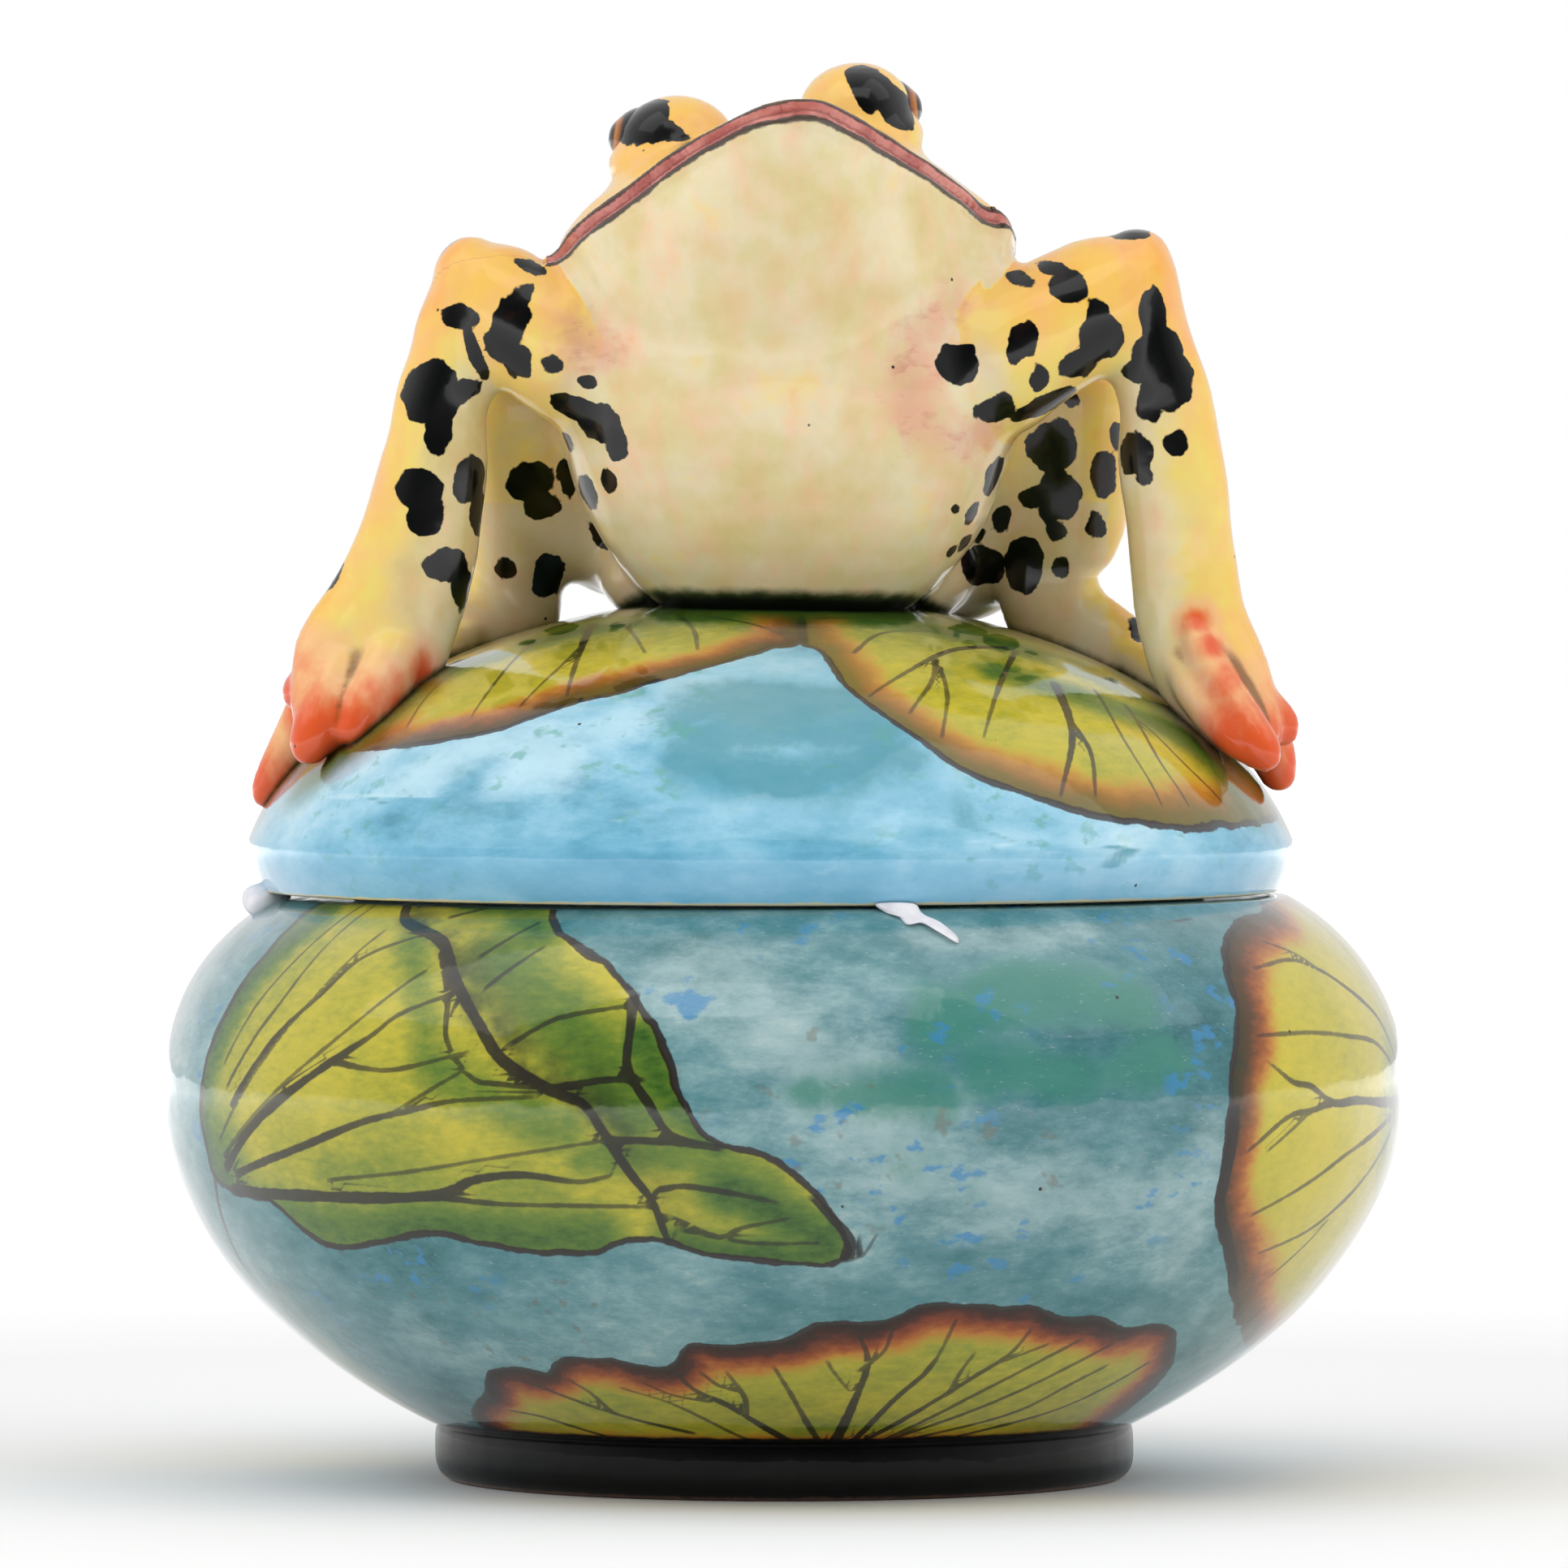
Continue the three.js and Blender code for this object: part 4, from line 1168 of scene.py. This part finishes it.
def hindleg_right():
    return hindleg(1, [
        (12, 30, 158, 9, 9), (20, 30, 159, 12, 13), (30, 25, 163, 16, 14), (40, 15, 177, 14.5, 13),
        (46.5, 9, 186, 12, 11), (49, 8, 184, 11, 10), (48.8, 11, 174, 11.2, 9), (48, 13, 165, 11.2, 8.4),
        (45.4, 14, 156, 8.8, 7.2), (48.6, 11, 147, 9, 5), (57, 6, 141.2, 8, 3.8), (62, 4, 138, 3, 2.2),
    ], [
        [(55, 10, 145, 3.2), (62, 2, 140, 4), (66, -3, 136, 3.6), (67.5, -5, 134.5, 1.6)],
        [(55, 14, 145, 3.2), (64, 14, 138.5, 4.2), (71, 15, 133, 3.6), (73.5, 15.5, 131, 1.6)],
    ])


FROG_SHELLS = {
    "torso": torso_parts,
    "head": head_parts,
    "foreleg_left": foreleg_left,
    "foreleg_right": foreleg_right,
    "hindleg_left": hindleg_left,
    "hindleg_right": hindleg_right,
}
# Tips of the toes, and how far from each the red-orange fades.
TOE_TIPS = [
    ((-86, -19, 132), 17), ((-90, -3, 116), 26), ((-82, -30, 124), 20), ((-74, -32, 127), 17),
    ((-69, -27, 132), 12), ((-63, -22, 138.5), 7), ((-81, 12, 126), 22), ((88, -18, 127), 17),
    ((83, -31, 123), 20), ((86, -8, 120), 18), ((80, -31, 125), 18), ((70.5, -22, 148), 4.6),
    ((72.5, -24, 143), 5), ((75, -26, 137), 7), ((80, 14, 126), 22), ((-75, 20, 130), 10),
    ((-69, 36, 130), 10), ((73, 15, 131), 10),
]


def fuse(shells, voxel):
    """One skin over all the shells, as evenly meshed clay."""
    vertices, faces = joined(*shells)
    piece = make_object("clay", vertices, faces, bpy.data.materials.new("clay"))
    remesh = piece.modifiers.new("skin", "REMESH")
    remesh.mode = "VOXEL"
    remesh.voxel_size = voxel * MM
    ready = piece.evaluated_get(bpy.context.evaluated_depsgraph_get()).to_mesh()
    points = np.empty(len(ready.vertices) * 3, np.float32)
    ready.vertices.foreach_get("co", points)
    sides = [tuple(face.vertices) for face in ready.polygons]
    edges = np.array([tuple(edge.vertices) for edge in ready.edges])
    bpy.data.objects.remove(piece)
    return points.reshape(-1, 3).astype(float) / MM, sides, edges


def neighbour_mean(values, edges):
    """Each vertex's mean over its neighbours."""
    count = len(values)
    ends = np.concatenate([edges[:, 0], edges[:, 1]])
    others = np.concatenate([edges[:, 1], edges[:, 0]])
    degree = np.maximum(np.bincount(ends, minlength=count), 1)
    return np.column_stack([
        np.bincount(ends, values[others, k], count) / degree for k in range(values.shape[1])
    ])


def smoothed(points, edges, rounds):
    """Taubin smoothing, which rounds creases and hardly shrinks the form."""
    for _ in range(rounds):
        points = points + 0.6 * (neighbour_mean(points, edges) - points)
        points = points - 0.62 * (neighbour_mean(points, edges) - points)
    return points


def normals_of(points, faces):
    """Unit normals at the vertices, by area."""
    quads = np.array([face if len(face) == 4 else (*face, face[-1]) for face in faces])
    across = np.cross(points[quads[:, 2]] - points[quads[:, 0]], points[quads[:, 3]] - points[quads[:, 1]])
    total = np.zeros_like(points)
    for k in range(4):
        for axis in range(3):
            total[:, axis] += np.bincount(quads[:, k], across[:, axis], len(points))
    return total / np.maximum(np.linalg.norm(total, axis=1), 1e-9)[:, None]


def lump(points, size, seed):
    """Soft noise from -1 to 1 at each point, with bumps of about this size."""
    return np.array([noise.noise(Vector(p / size) + Vector((seed, 0, 0))) for p in points])


def filled(points, faces, edges, rounds, most):
    """Clay thumbed into the creases: points move out of hollows, and convex forms stay."""
    melted = points
    for _ in range(rounds):
        melted = melted + 0.7 * (neighbour_mean(melted, edges) - melted)
    normals = normals_of(points, faces)
    out = np.clip(((melted - points) * normals).sum(axis=1), 0, most)
    return points + normals * out[:, None]


def sculpt(points, faces, edges):
    """Smooths the fused clay, then presses in the mouth and the marks of the maker's fingers."""
    points = smoothed(points, edges, 6)
    hands = np.clip((152 - points[:, 2]) / 8, 0, 1) * np.clip((np.abs(points[:, 0]) - 55) / 6, 0, 1)
    eyes = np.clip((points[:, 2] - 221) / 4, 0, 1)
    keep = np.maximum(0.95 * hands, 0.6 * eyes)[:, None]
    for rounds in (70, 40, 20):
        points = points + (filled(points, faces, edges, rounds, 3) - points) * (1 - keep)
        points = smoothed(points, edges, 6)
    normals = normals_of(points, faces)
    rise = above_mouth(points)
    lips = mouth_share(points)
    groove = -0.8 * np.exp(-((rise / 0.5) ** 2)) + 0.6 * np.exp(-((np.abs(rise) - 1.6) ** 2) / 0.9)
    points = points + normals * (lips * groove)[:, None]
    points = points + normals * (0.22 * lump(points, 7, 0) + 0.35 * lump(points, 17, 5))[:, None]
    return points, normals_of(points, faces)


def mouth_share(points):
    """1 where the lips run, fading out behind the corners of the mouth."""
    head = (points - JAW_CORNER) @ HEAD_TURN
    wide = np.abs(head[:, 0])
    front = np.clip((-5 - head[:, 1]) / 3 + 2.2, 0, 1)
    return front * (wide < 44) * (points[:, 0] > -41) * (points[:, 0] < 40.4) * (points[:, 2] > 206)


# ---------------------------------------------------------------- the frog's painting

# Spots seen from in front: x, z, half width, half height, tilt in degrees. Those that touch make one blot.
FRONT_SPOTS = [
    (-60.5, 186.8, 5.4, 5.8, 0), (-55, 187.2, 3.4, 2.3, 20), (-59.2, 180.4, 2.6, 4, 0),
    (-62.6, 170.4, 4.8, 3.4, 0), (-61, 166.2, 3.2, 3.4, 0), (-53.6, 172, 3, 4.2, 0),
    (-52.3, 166.6, 1.7, 4, 0), (-57.6, 157.6, 4.4, 2.9, 0), (-55, 153.8, 2, 4, 0), (-55, 200, 3, 2.4, -10),
    (-52.8, 193.8, 1.3, 5, 22), (-46.8, 198.6, 3.6, 6, -10), (-48.6, 195.4, 2.8, 3.4, 0),
    (-45.4, 192.6, 2.4, 4, 12), (-44.6, 203, 1.8, 2.4, -30), (-39.3, 191.6, 2.1, 1.6, -20),
    (-33.4, 188.6, 1.7, 1.1, -15), (-36, 184.4, 4, 2.2, -20), (-31.4, 181.8, 4.8, 3.6, -25),
    (-28.5, 178.8, 2.4, 3.4, 0), (-37, 178.6, 1.1, 2.2, 10), (-30, 172, 1.3, 1.9, 30),
    (-33.5, 170, 1.6, 3.2, 15), (-31.5, 162, 3, 1.2, -45), (-37.4, 172, 1.3, 3.8, 10),
    (-43.8, 171.6, 4.4, 4.2, 0), (-42, 168, 3.6, 3, 0), (-48, 156.6, 2.3, 2.8, 0), (-41, 155.6, 3, 4.4, 0),
    (-43.6, 208.6, 3, 1.2, -20), (40.3, 206.6, 2.6, 1.6, -25), (45.4, 208.4, 3, 1.3, -15),
    (48.7, 205, 3.3, 3.4, 0), (40.8, 196.3, 2.7, 2.9, 0), (39.4, 193.4, 1.1, 1.7, 0),
    (29.2, 191.4, 3.9, 3.5, 0), (30.4, 193.8, 2, 1.5, 0), (53.4, 200, 1.8, 3.4, 0), (54.2, 196, 4.2, 4, 0),
    (50.4, 191.8, 3.6, 2.6, 25), (43.3, 189.3, 1.5, 2.1, -15), (35.6, 184, 3.3, 2.4, 0),
    (37, 186, 1.6, 1.3, 0), (44.4, 185, 6, 1.5, 27), (62.8, 200.4, 2.6, 5, 0), (63.8, 193.4, 4.6, 5, 0),
    (65.5, 189, 4.3, 5.6, 0), (60.6, 190.6, 3.4, 1.8, 0), (62.6, 184.6, 2.5, 3, 0),
    (60.2, 176.6, 3.3, 3.9, 0), (61.6, 172.6, 1.9, 1.9, 0), (57.4, 179.6, 1.1, 2.2, 0),
    (66.6, 178.2, 2.4, 2.4, 0), (46.2, 178, 4.5, 4.7, 0), (47.4, 169, 3.8, 5, 0), (43.2, 169.4, 3, 2, 0),
    (47, 163.4, 2, 2, 0), (54, 164, 2, 2.3, 0), (55, 173.6, 2.7, 3.8, 0), (41.6, 157.4, 3.3, 5, 0),
    (47.7, 157, 1.5, 1.7, 0), (34, 157.2, 4, 3.8, 0), (37.4, 165, 1.9, 2.3, -20), (36, 173, 1.5, 3.8, -25),
    (32.2, 166.4, 1.2, 2, -35), (34, 162.6, 1, 2, -35), (29.2, 167, 0.9, 0.9, 0),
    (28.4, 159.6, 0.9, 1.2, -35), (31, 161, 1, 1.6, -35), (59, 214.6, 4.2, 1.6, 0),
    (49.4, 186, 1.3, 1.1, 0),
]
EYE_PATCHES = [
    (-23.9, 234, 4.7, 5.4, -15), (-20.6, 231.9, 4.2, 2, -18), (-26.4, 231, 2.8, 2.4, 0),
    (15, 239.2, 3.8, 5, 12), (19, 235.8, 5, 3.4, -45), (13, 242, 2.4, 2.4, 0),
]
# Rosy patches seen from in front: x, z, reach.
BLUSH = [
    (-36, 198, 7), (-31, 193, 6), (29, 203, 6), (24, 197, 6.5), (21, 190, 6.5), (21, 184, 6), (25, 180, 6),
    (31, 178, 5), (35, 181, 4),
]


def spot_field(points, normals, skin):
    """Millimetres inside the nearest dark spot: spots placed from in front, then scattered on the rest."""
    field = np.full(len(points), NO_SPOT)

    def add(centre, facing, half_x, half_z, tilt):
        a = math.radians(tilt)
        rel = points - centre
        across = (rel[:, 0] * math.cos(a) + rel[:, 2] * math.sin(a)) / half_x
        along = (-rel[:, 0] * math.sin(a) + rel[:, 2] * math.cos(a)) / half_z
        deep = rel[:, 1] / (max(half_x, half_z) * 1.5)
        inward = (1 - np.sqrt(across**2 + along**2 + deep**2)) * (half_x + half_z) / 2
        inward = np.where(normals @ facing > -0.3, inward, NO_SPOT)
        np.maximum(field, inward, out=field)

    for x, z, half_x, half_z, tilt in FRONT_SPOTS + EYE_PATCHES:
        place, facing = seen_from_front(skin, x, z)
        if place is not None:
            add(np.array(place), np.array(facing), half_x, half_z, tilt)

    rng = np.random.default_rng(12)
    placed = []
    belly = (np.abs(points[:, 0]) < 34) & (points[:, 1] < 2) & (above_mouth(points) < 4)
    face = (points[:, 2] > 203) & (points[:, 1] < 6) & (np.abs(points[:, 0]) < 42)
    open_skin = (normals[:, 1] > 0.3) & (points[:, 2] > 144) & ~belly & ~face
    for index in rng.permutation(np.nonzero(open_skin)[0])[:6000]:
        size = rng.uniform(2.0, 6.2)
        near = [np.linalg.norm(points[index] - spot) < size + other + 3.2 for spot, other in placed]
        if any(near) or field[index] > -size - 3.0:
            continue
        placed.append((points[index], size))
        rel = np.linalg.norm(points - points[index], axis=1)
        inward = np.where(normals @ normals[index] > -0.2, size - rel, NO_SPOT)
        np.maximum(field, inward, out=field)
    return field


def ochre_field(points, normals, label):
    """0 on the cream belly, about 0.5 on yellow, 1 and over on the orange backs of limbs and head."""
    outward = normals[:, 0] * np.sign(points[:, 0])
    limbs = 0.28 + 0.5 * np.clip(outward, 0, 1) + 0.45 * np.clip(normals[:, 2], 0, 1)
    limbs = limbs + 0.3 * np.clip(normals[:, 1], 0, 1)
    limbs = limbs + 0.5 * np.clip((points[:, 2] - 188) / 14, 0, 1) - 0.3 * np.clip(-outward, 0, 1)
    limbs = limbs - 0.35 * np.clip((40 - np.abs(points[:, 0])) / 8, 0, 1)
    thin = (points[:, 2] < 168) & (np.abs(points[:, 0]) < 56) & (points[:, 1] > 0)
    limbs = np.where(thin, limbs - 0.35, limbs)
    head = 0.75 + 0.3 * np.clip(normals[:, 2], 0, 1)
    body = np.clip(0.1 + 0.75 * np.clip(normals[:, 1] + 0.2, 0, 1), 0, 1)
    field = np.choose(label, [body, head, limbs, limbs, limbs, limbs])
    return np.where((above_mouth(points) < -1.5) & (label == 1), 0.02, field)


def seen_from_front(skin, x, z):
    """Where a line from in front first meets the skin, and the normal there."""
    place, facing, _, _ = skin.ray_cast(Vector((x, -400, z)), Vector((0, 1, 0)))
    return place, facing


def nearest_shell(points, shells):
    """Which shell each point belongs to."""
    trees = [BVHTree.FromPolygons(v.tolist(), f) for v, f in shells]
    best = np.full(len(points), np.inf)
    label = np.zeros(len(points), int)
    for k, tree in enumerate(trees):
        gaps = np.array([tree.find_nearest(Vector(p), 14)[3] or 99 for p in points])
        closer = gaps < best - 1e-3
        best = np.where(closer, gaps, best)
        label = np.where(closer, k, label)
    return label


def finger_creases(points, faces, edges):
    """How far the joins between the fingers of the hands lie below the clay beside them, which the glaze
    darkens as painted shade.
    """
    full = filled(points, faces, edges, 24, 3)
    hands = np.clip((146 - points[:, 2]) / 6, 0, 1) * np.clip((np.abs(points[:, 0]) - 60) / 6, 0, 1)
    return hands * np.linalg.norm(full - points, axis=1)


def make_frog(material):
    """The fused frog, cut into its named pieces along the joins, with one shading across them."""
    shells = [build() for build in FROG_SHELLS.values()]
    points, faces, edges = fuse(shells, 0.85)
    points, normals = sculpt(points, faces, edges)
    skin = BVHTree.FromPolygons(points.tolist(), faces)
    label = nearest_shell(points, shells)
    body = (label == 0) | (label == 1)
    label = np.where(body, np.where((above_mouth(points) > 0) & (points[:, 2] > 175), 1, 0), label)
    fields = {
        "spot": spot_field(points, normals, skin),
        "ochre": ochre_field(points, normals, label),
        "toe": np.zeros(len(points)),
        "blush": np.zeros(len(points)),
        "crease": finger_creases(points, faces, edges),
        "lip": above_mouth(points) + 30 * np.sign(above_mouth(points)) * (mouth_share(points) < 0.5),
        "contact": above_dome(points) + 2.8 * np.clip((np.abs(points[:, 0]) - 22) / 7, 0, 1),
    }
    for tip, reach in TOE_TIPS:
        away = np.linalg.norm(points - np.array(tip), axis=1)
        fields["toe"] = np.maximum(fields["toe"], np.clip(1.15 - away / reach, 0, 1))
    for x, z, size in BLUSH:
        place, _ = seen_from_front(skin, x, z)
        away = np.linalg.norm(points - np.array(place), axis=1)
        fields["blush"] += 0.6 * np.exp(-((away / size) ** 2))
    names = list(FROG_SHELLS)
    pieces = cut_apart(points, faces, edges, normals, label, names, fields, material)
    for name, piece in pieces.items():
        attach(piece, "lid")
        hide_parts(f"frog_{name}")
    return skin


def cut_apart(points, faces, edges, normals, label, names, fields, material):
    """One closed object for each label. Neighbours share the vertices of the joint between them."""
    for _ in range(6):
        votes = np.column_stack([(label == k).astype(float) for k in range(len(names))])
        label = np.argmax(neighbour_mean(votes, edges) + 0.35 * votes, axis=1)
    owner = np.array([np.bincount(label[list(face)], minlength=len(names)).argmax() for face in faces])
    pieces = {}
    for k, name in enumerate(names):
        own = [faces[i] for i in np.nonzero(owner == k)[0]]
        used = sorted({i for face in own for i in face})
        index = {old: new for new, old in enumerate(used)}
        own = [tuple(index[i] for i in face) for face in own]
        vertices = points[used]
        shading = normals[used]
        caps, vertices, shading, sources = cap_openings(own, vertices, shading, used)
        piece = make_object(f"frog_{name}_clay", vertices, own + caps, material, shading)
        for field, values in fields.items():
            set_field(piece, field, values[sources])
        pieces[name] = piece
    return pieces


def cap_openings(faces, vertices, shading, sources):
    """Closes each open loop with a fan to a point sunk inside it."""
    count = {}
    for face in faces:
        for a, b in zip(face, face[1:] + face[:1]):
            count[(a, b)] = count.get((a, b), 0) + 1
    follows = {}
    for a, b in count:
        if (b, a) not in count:
            follows.setdefault(b, []).append(a)
    caps, extra, extra_shading, extra_sources = [], [], [], []
    while follows:
        start = next(iter(follows))
        loop, here = [start], start
        while True:
            ahead = follows[here].pop()
            if not follows[here]:
                del follows[here]
            if ahead == start or ahead not in follows:
                break
            loop.append(ahead)
            here = ahead
        centre = vertices[loop].mean(axis=0) - shading[loop].mean(axis=0) * 1.5
        middle = len(vertices) + len(extra)
        extra.append(centre)
        extra_shading.append(shading[loop[0]])
        extra_sources.append(sources[loop[0]])
        caps += [(a, b, middle) for a, b in zip(loop, loop[1:] + loop[:1])]
    if extra:
        vertices = np.vstack([vertices, extra])
        shading = np.vstack([shading, extra_shading])
    return caps, vertices, shading, list(sources) + extra_sources


def make_eyes(material):
    for side, (*_, centre) in EYES.items():
        outward = math.copysign(1, centre[0])
        centre = np.array(centre)
        vertices, faces = egg(centre, (EYE_R, EYE_R + 0.6, EYE_R, EYE_R), 64)
        look = np.array((outward * 0.98, -0.04, 0.14))
        look /= np.linalg.norm(look)
        away = vertices - centre
        facing = (away / np.linalg.norm(away, axis=1)[:, None]) @ look
        bulge = 0.5 * np.exp(-(((1 - facing) / 0.12) ** 2))
        vertices = vertices + look * bulge[:, None]
        eye = make_object(f"frog_eyeball_{side}", vertices, faces, material)
        set_field(eye, "gaze", np.degrees(np.arccos(np.clip(facing, -1, 1))) / 90)
        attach(eye, "lid")
        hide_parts(f"frog_eye_{side}")


# ---------------------------------------------------------------- putty


def on_bowl(azimuth, height, lift=0.0):
    """A point on the outside of the bowl, in millimetres."""
    radius = np.interp(height, BOWL_OUTER[:, 1], BOWL_OUTER[:, 0]) + lift
    turn = math.radians(azimuth)
    return np.array((radius * math.sin(turn), -radius * math.cos(turn), height))


def make_pads(material):
    """The putty squeezed out at the rim: a torn tongue in front and a round lump at the left."""
    tongue = smooth_line([
        (10.2, 101.6), (11, 100.2), (12.4, 99.4), (13, 98.2), (14.6, 98.4), (16.4, 96.6), (17.6, 95.2),
        (17.8, 96.4), (16.6, 98.6), (15.2, 99.8), (14.2, 101.6),
    ], 5, closed=True)
    count = len(tongue)
    middle = tongue.mean(axis=0)
    layers = [(1.0, -0.3), (1.0, 0.5), (0.86, 1.0), (0.5, 1.25)]
    vertices = []
    for shrink, lift in layers:
        vertices += [on_bowl(*(middle + (place - middle) * shrink), lift) for place in tongue]
    vertices += [on_bowl(*middle, 1.3), on_bowl(*middle, -0.3)]
    faces = wall(len(layers), count)
    top = len(layers) * count
    for i in range(count):
        j = (i + 1) % count
        faces.append(((len(layers) - 1) * count + i, (len(layers) - 1) * count + j, top))
        faces.append((j, i, top + 1))
    front = make_object("putty_front", np.array(vertices), faces, material)
    lump_vertices, lump_faces = egg((-88.8, -9, 99.8), (4.3, 7, 3.2, 3.4), 48)
    dents = 0.5 * lump(lump_vertices, 4, 2)
    lump_vertices = lump_vertices + normals_of(lump_vertices, lump_faces) * dents[:, None]
    left = make_object("putty_left", lump_vertices, lump_faces, material)
    for piece, node in ((front, "lid_pad_front"), (left, "lid_pad_left")):
        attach(piece, "jar")
        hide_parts(node)


# ---------------------------------------------------------------- stage


def make_stage():
    """A wide white floor that glows softly where it runs off behind the jar, so that it has no horizon."""
    material = bpy.data.materials.new("floor")
    material.use_nodes = True
    tree = material.node_tree
    shader = tree.nodes["Principled BSDF"]
    shader.inputs["Base Color"].default_value = (0.93, 0.93, 0.93, 1)
    shader.inputs["Roughness"].default_value = 0.9
    shader.inputs["Specular IOR Level"].default_value = 0.1
    shader.inputs["Emission Color"].default_value = (1, 1, 1, 1)
    place = tree.nodes.new("ShaderNodeTexCoord")
    away = tree.nodes.new("ShaderNodeVectorMath")
    away.operation = "LENGTH"
    glow = tree.nodes.new("ShaderNodeMapRange")
    glow.inputs["From Min"].default_value = 0.35
    glow.inputs["From Max"].default_value = 1.8
    glow.inputs["To Max"].default_value = 1.0
    tree.links.new(place.outputs["Object"], away.inputs[0])
    tree.links.new(away.outputs["Value"], glow.inputs["Value"])
    tree.links.new(glow.outputs[0], shader.inputs["Emission Strength"])
    count = 96
    turns = np.radians(np.arange(count) * 360 / count)
    vertices = np.column_stack([9000 * np.sin(turns), 9000 * np.cos(turns), np.zeros(count)])
    make_object("floor", vertices, [tuple(range(count - 1, -1, -1))], material)


def add_light(name, place, size, watts, mirrored=False):
    """A soft box that faces the jar. Only a mirrored one shows in the glaze."""
    light = bpy.data.lights.new(name, "AREA")
    light.shape = "RECTANGLE"
    light.size, light.size_y = size
    light.energy = watts
    box = bpy.data.objects.new(name, light)
    box.location = place
    aim = Vector((0, 0, AIM_HEIGHT * MM)) - Vector(place)
    box.rotation_euler = aim.to_track_quat("-Z", "Y").to_euler()
    box.visible_glossy = mirrored
    bpy.context.scene.collection.objects.link(box)


def make_world():
    """White to the camera, and dimmer in front of the jar than above and beside it."""
    world = bpy.data.worlds.new("white tent")
    world.use_nodes = True
    tree = world.node_tree
    background = tree.nodes["Background"]
    background.inputs["Color"].default_value = (1, 1, 1, 1)
    place = tree.nodes.new("ShaderNodeTexCoord")
    split = tree.nodes.new("ShaderNodeSeparateXYZ")
    front = tree.nodes.new("ShaderNodeMapRange")
    front.inputs["From Min"].default_value = -0.9
    front.inputs["From Max"].default_value = 0.1
    front.inputs["To Min"].default_value = 0.06
    front.inputs["To Max"].default_value = 0.82
    path = tree.nodes.new("ShaderNodeLightPath")
    seen = tree.nodes.new("ShaderNodeMix")
    seen.inputs[3].default_value = 1.0
    tree.links.new(place.outputs["Generated"], split.inputs[0])
    tree.links.new(split.outputs["Y"], front.inputs["Value"])
    tree.links.new(path.outputs["Is Camera Ray"], seen.inputs["Factor"])
    tree.links.new(front.outputs[0], seen.inputs[2])
    tree.links.new(seen.outputs[0], background.inputs["Strength"])
    bpy.context.scene.world = world


def light_and_camera():
    scene = bpy.context.scene
    scene.view_settings.view_transform = "Standard"
    make_world()
    add_light("left box", (-1.6, -1.35, 1.15), (1.9, 1.8), 14)
    add_light("right box", (1.65, -1.25, 1.1), (1.8, 1.8), 12)
    add_light("front window", (0, -1.0, 1.7), (1.6, 0.7), 5, mirrored=True)
    add_light("left window", (-1.1, -0.3, 1.6), (1.2, 1.6), 5, mirrored=True)
    add_light("right window", (1.1, -0.3, 1.6), (1.2, 1.6), 4.5, mirrored=True)
    camera = bpy.data.cameras.new("camera")
    camera.sensor_width = 36
    place = Vector((0, -CAMERA_DISTANCE, CAMERA_HEIGHT)) * MM
    aim = Vector((0, 0, AIM_HEIGHT)) * MM - place
    camera.lens = camera.sensor_width * aim.length / (VIEW_WIDTH * MM)
    camera.clip_end = 20
    view = bpy.data.objects.new("camera", camera)
    view.location = place
    view.rotation_euler = aim.to_track_quat("-Z", "Y").to_euler()
    scene.collection.objects.link(view)
    scene.camera = view


# ---------------------------------------------------------------- assembly

make_bowl(bowl_glaze())
make_foot(foot_glaze())
frog_surface = make_frog(frog_glaze())
make_eyes(eye_glaze())
clay = bare_clay()
make_lid(lid_glaze(), frog_surface)
make_flange(clay)
make_pads(white_putty())
make_stage()
light_and_camera()
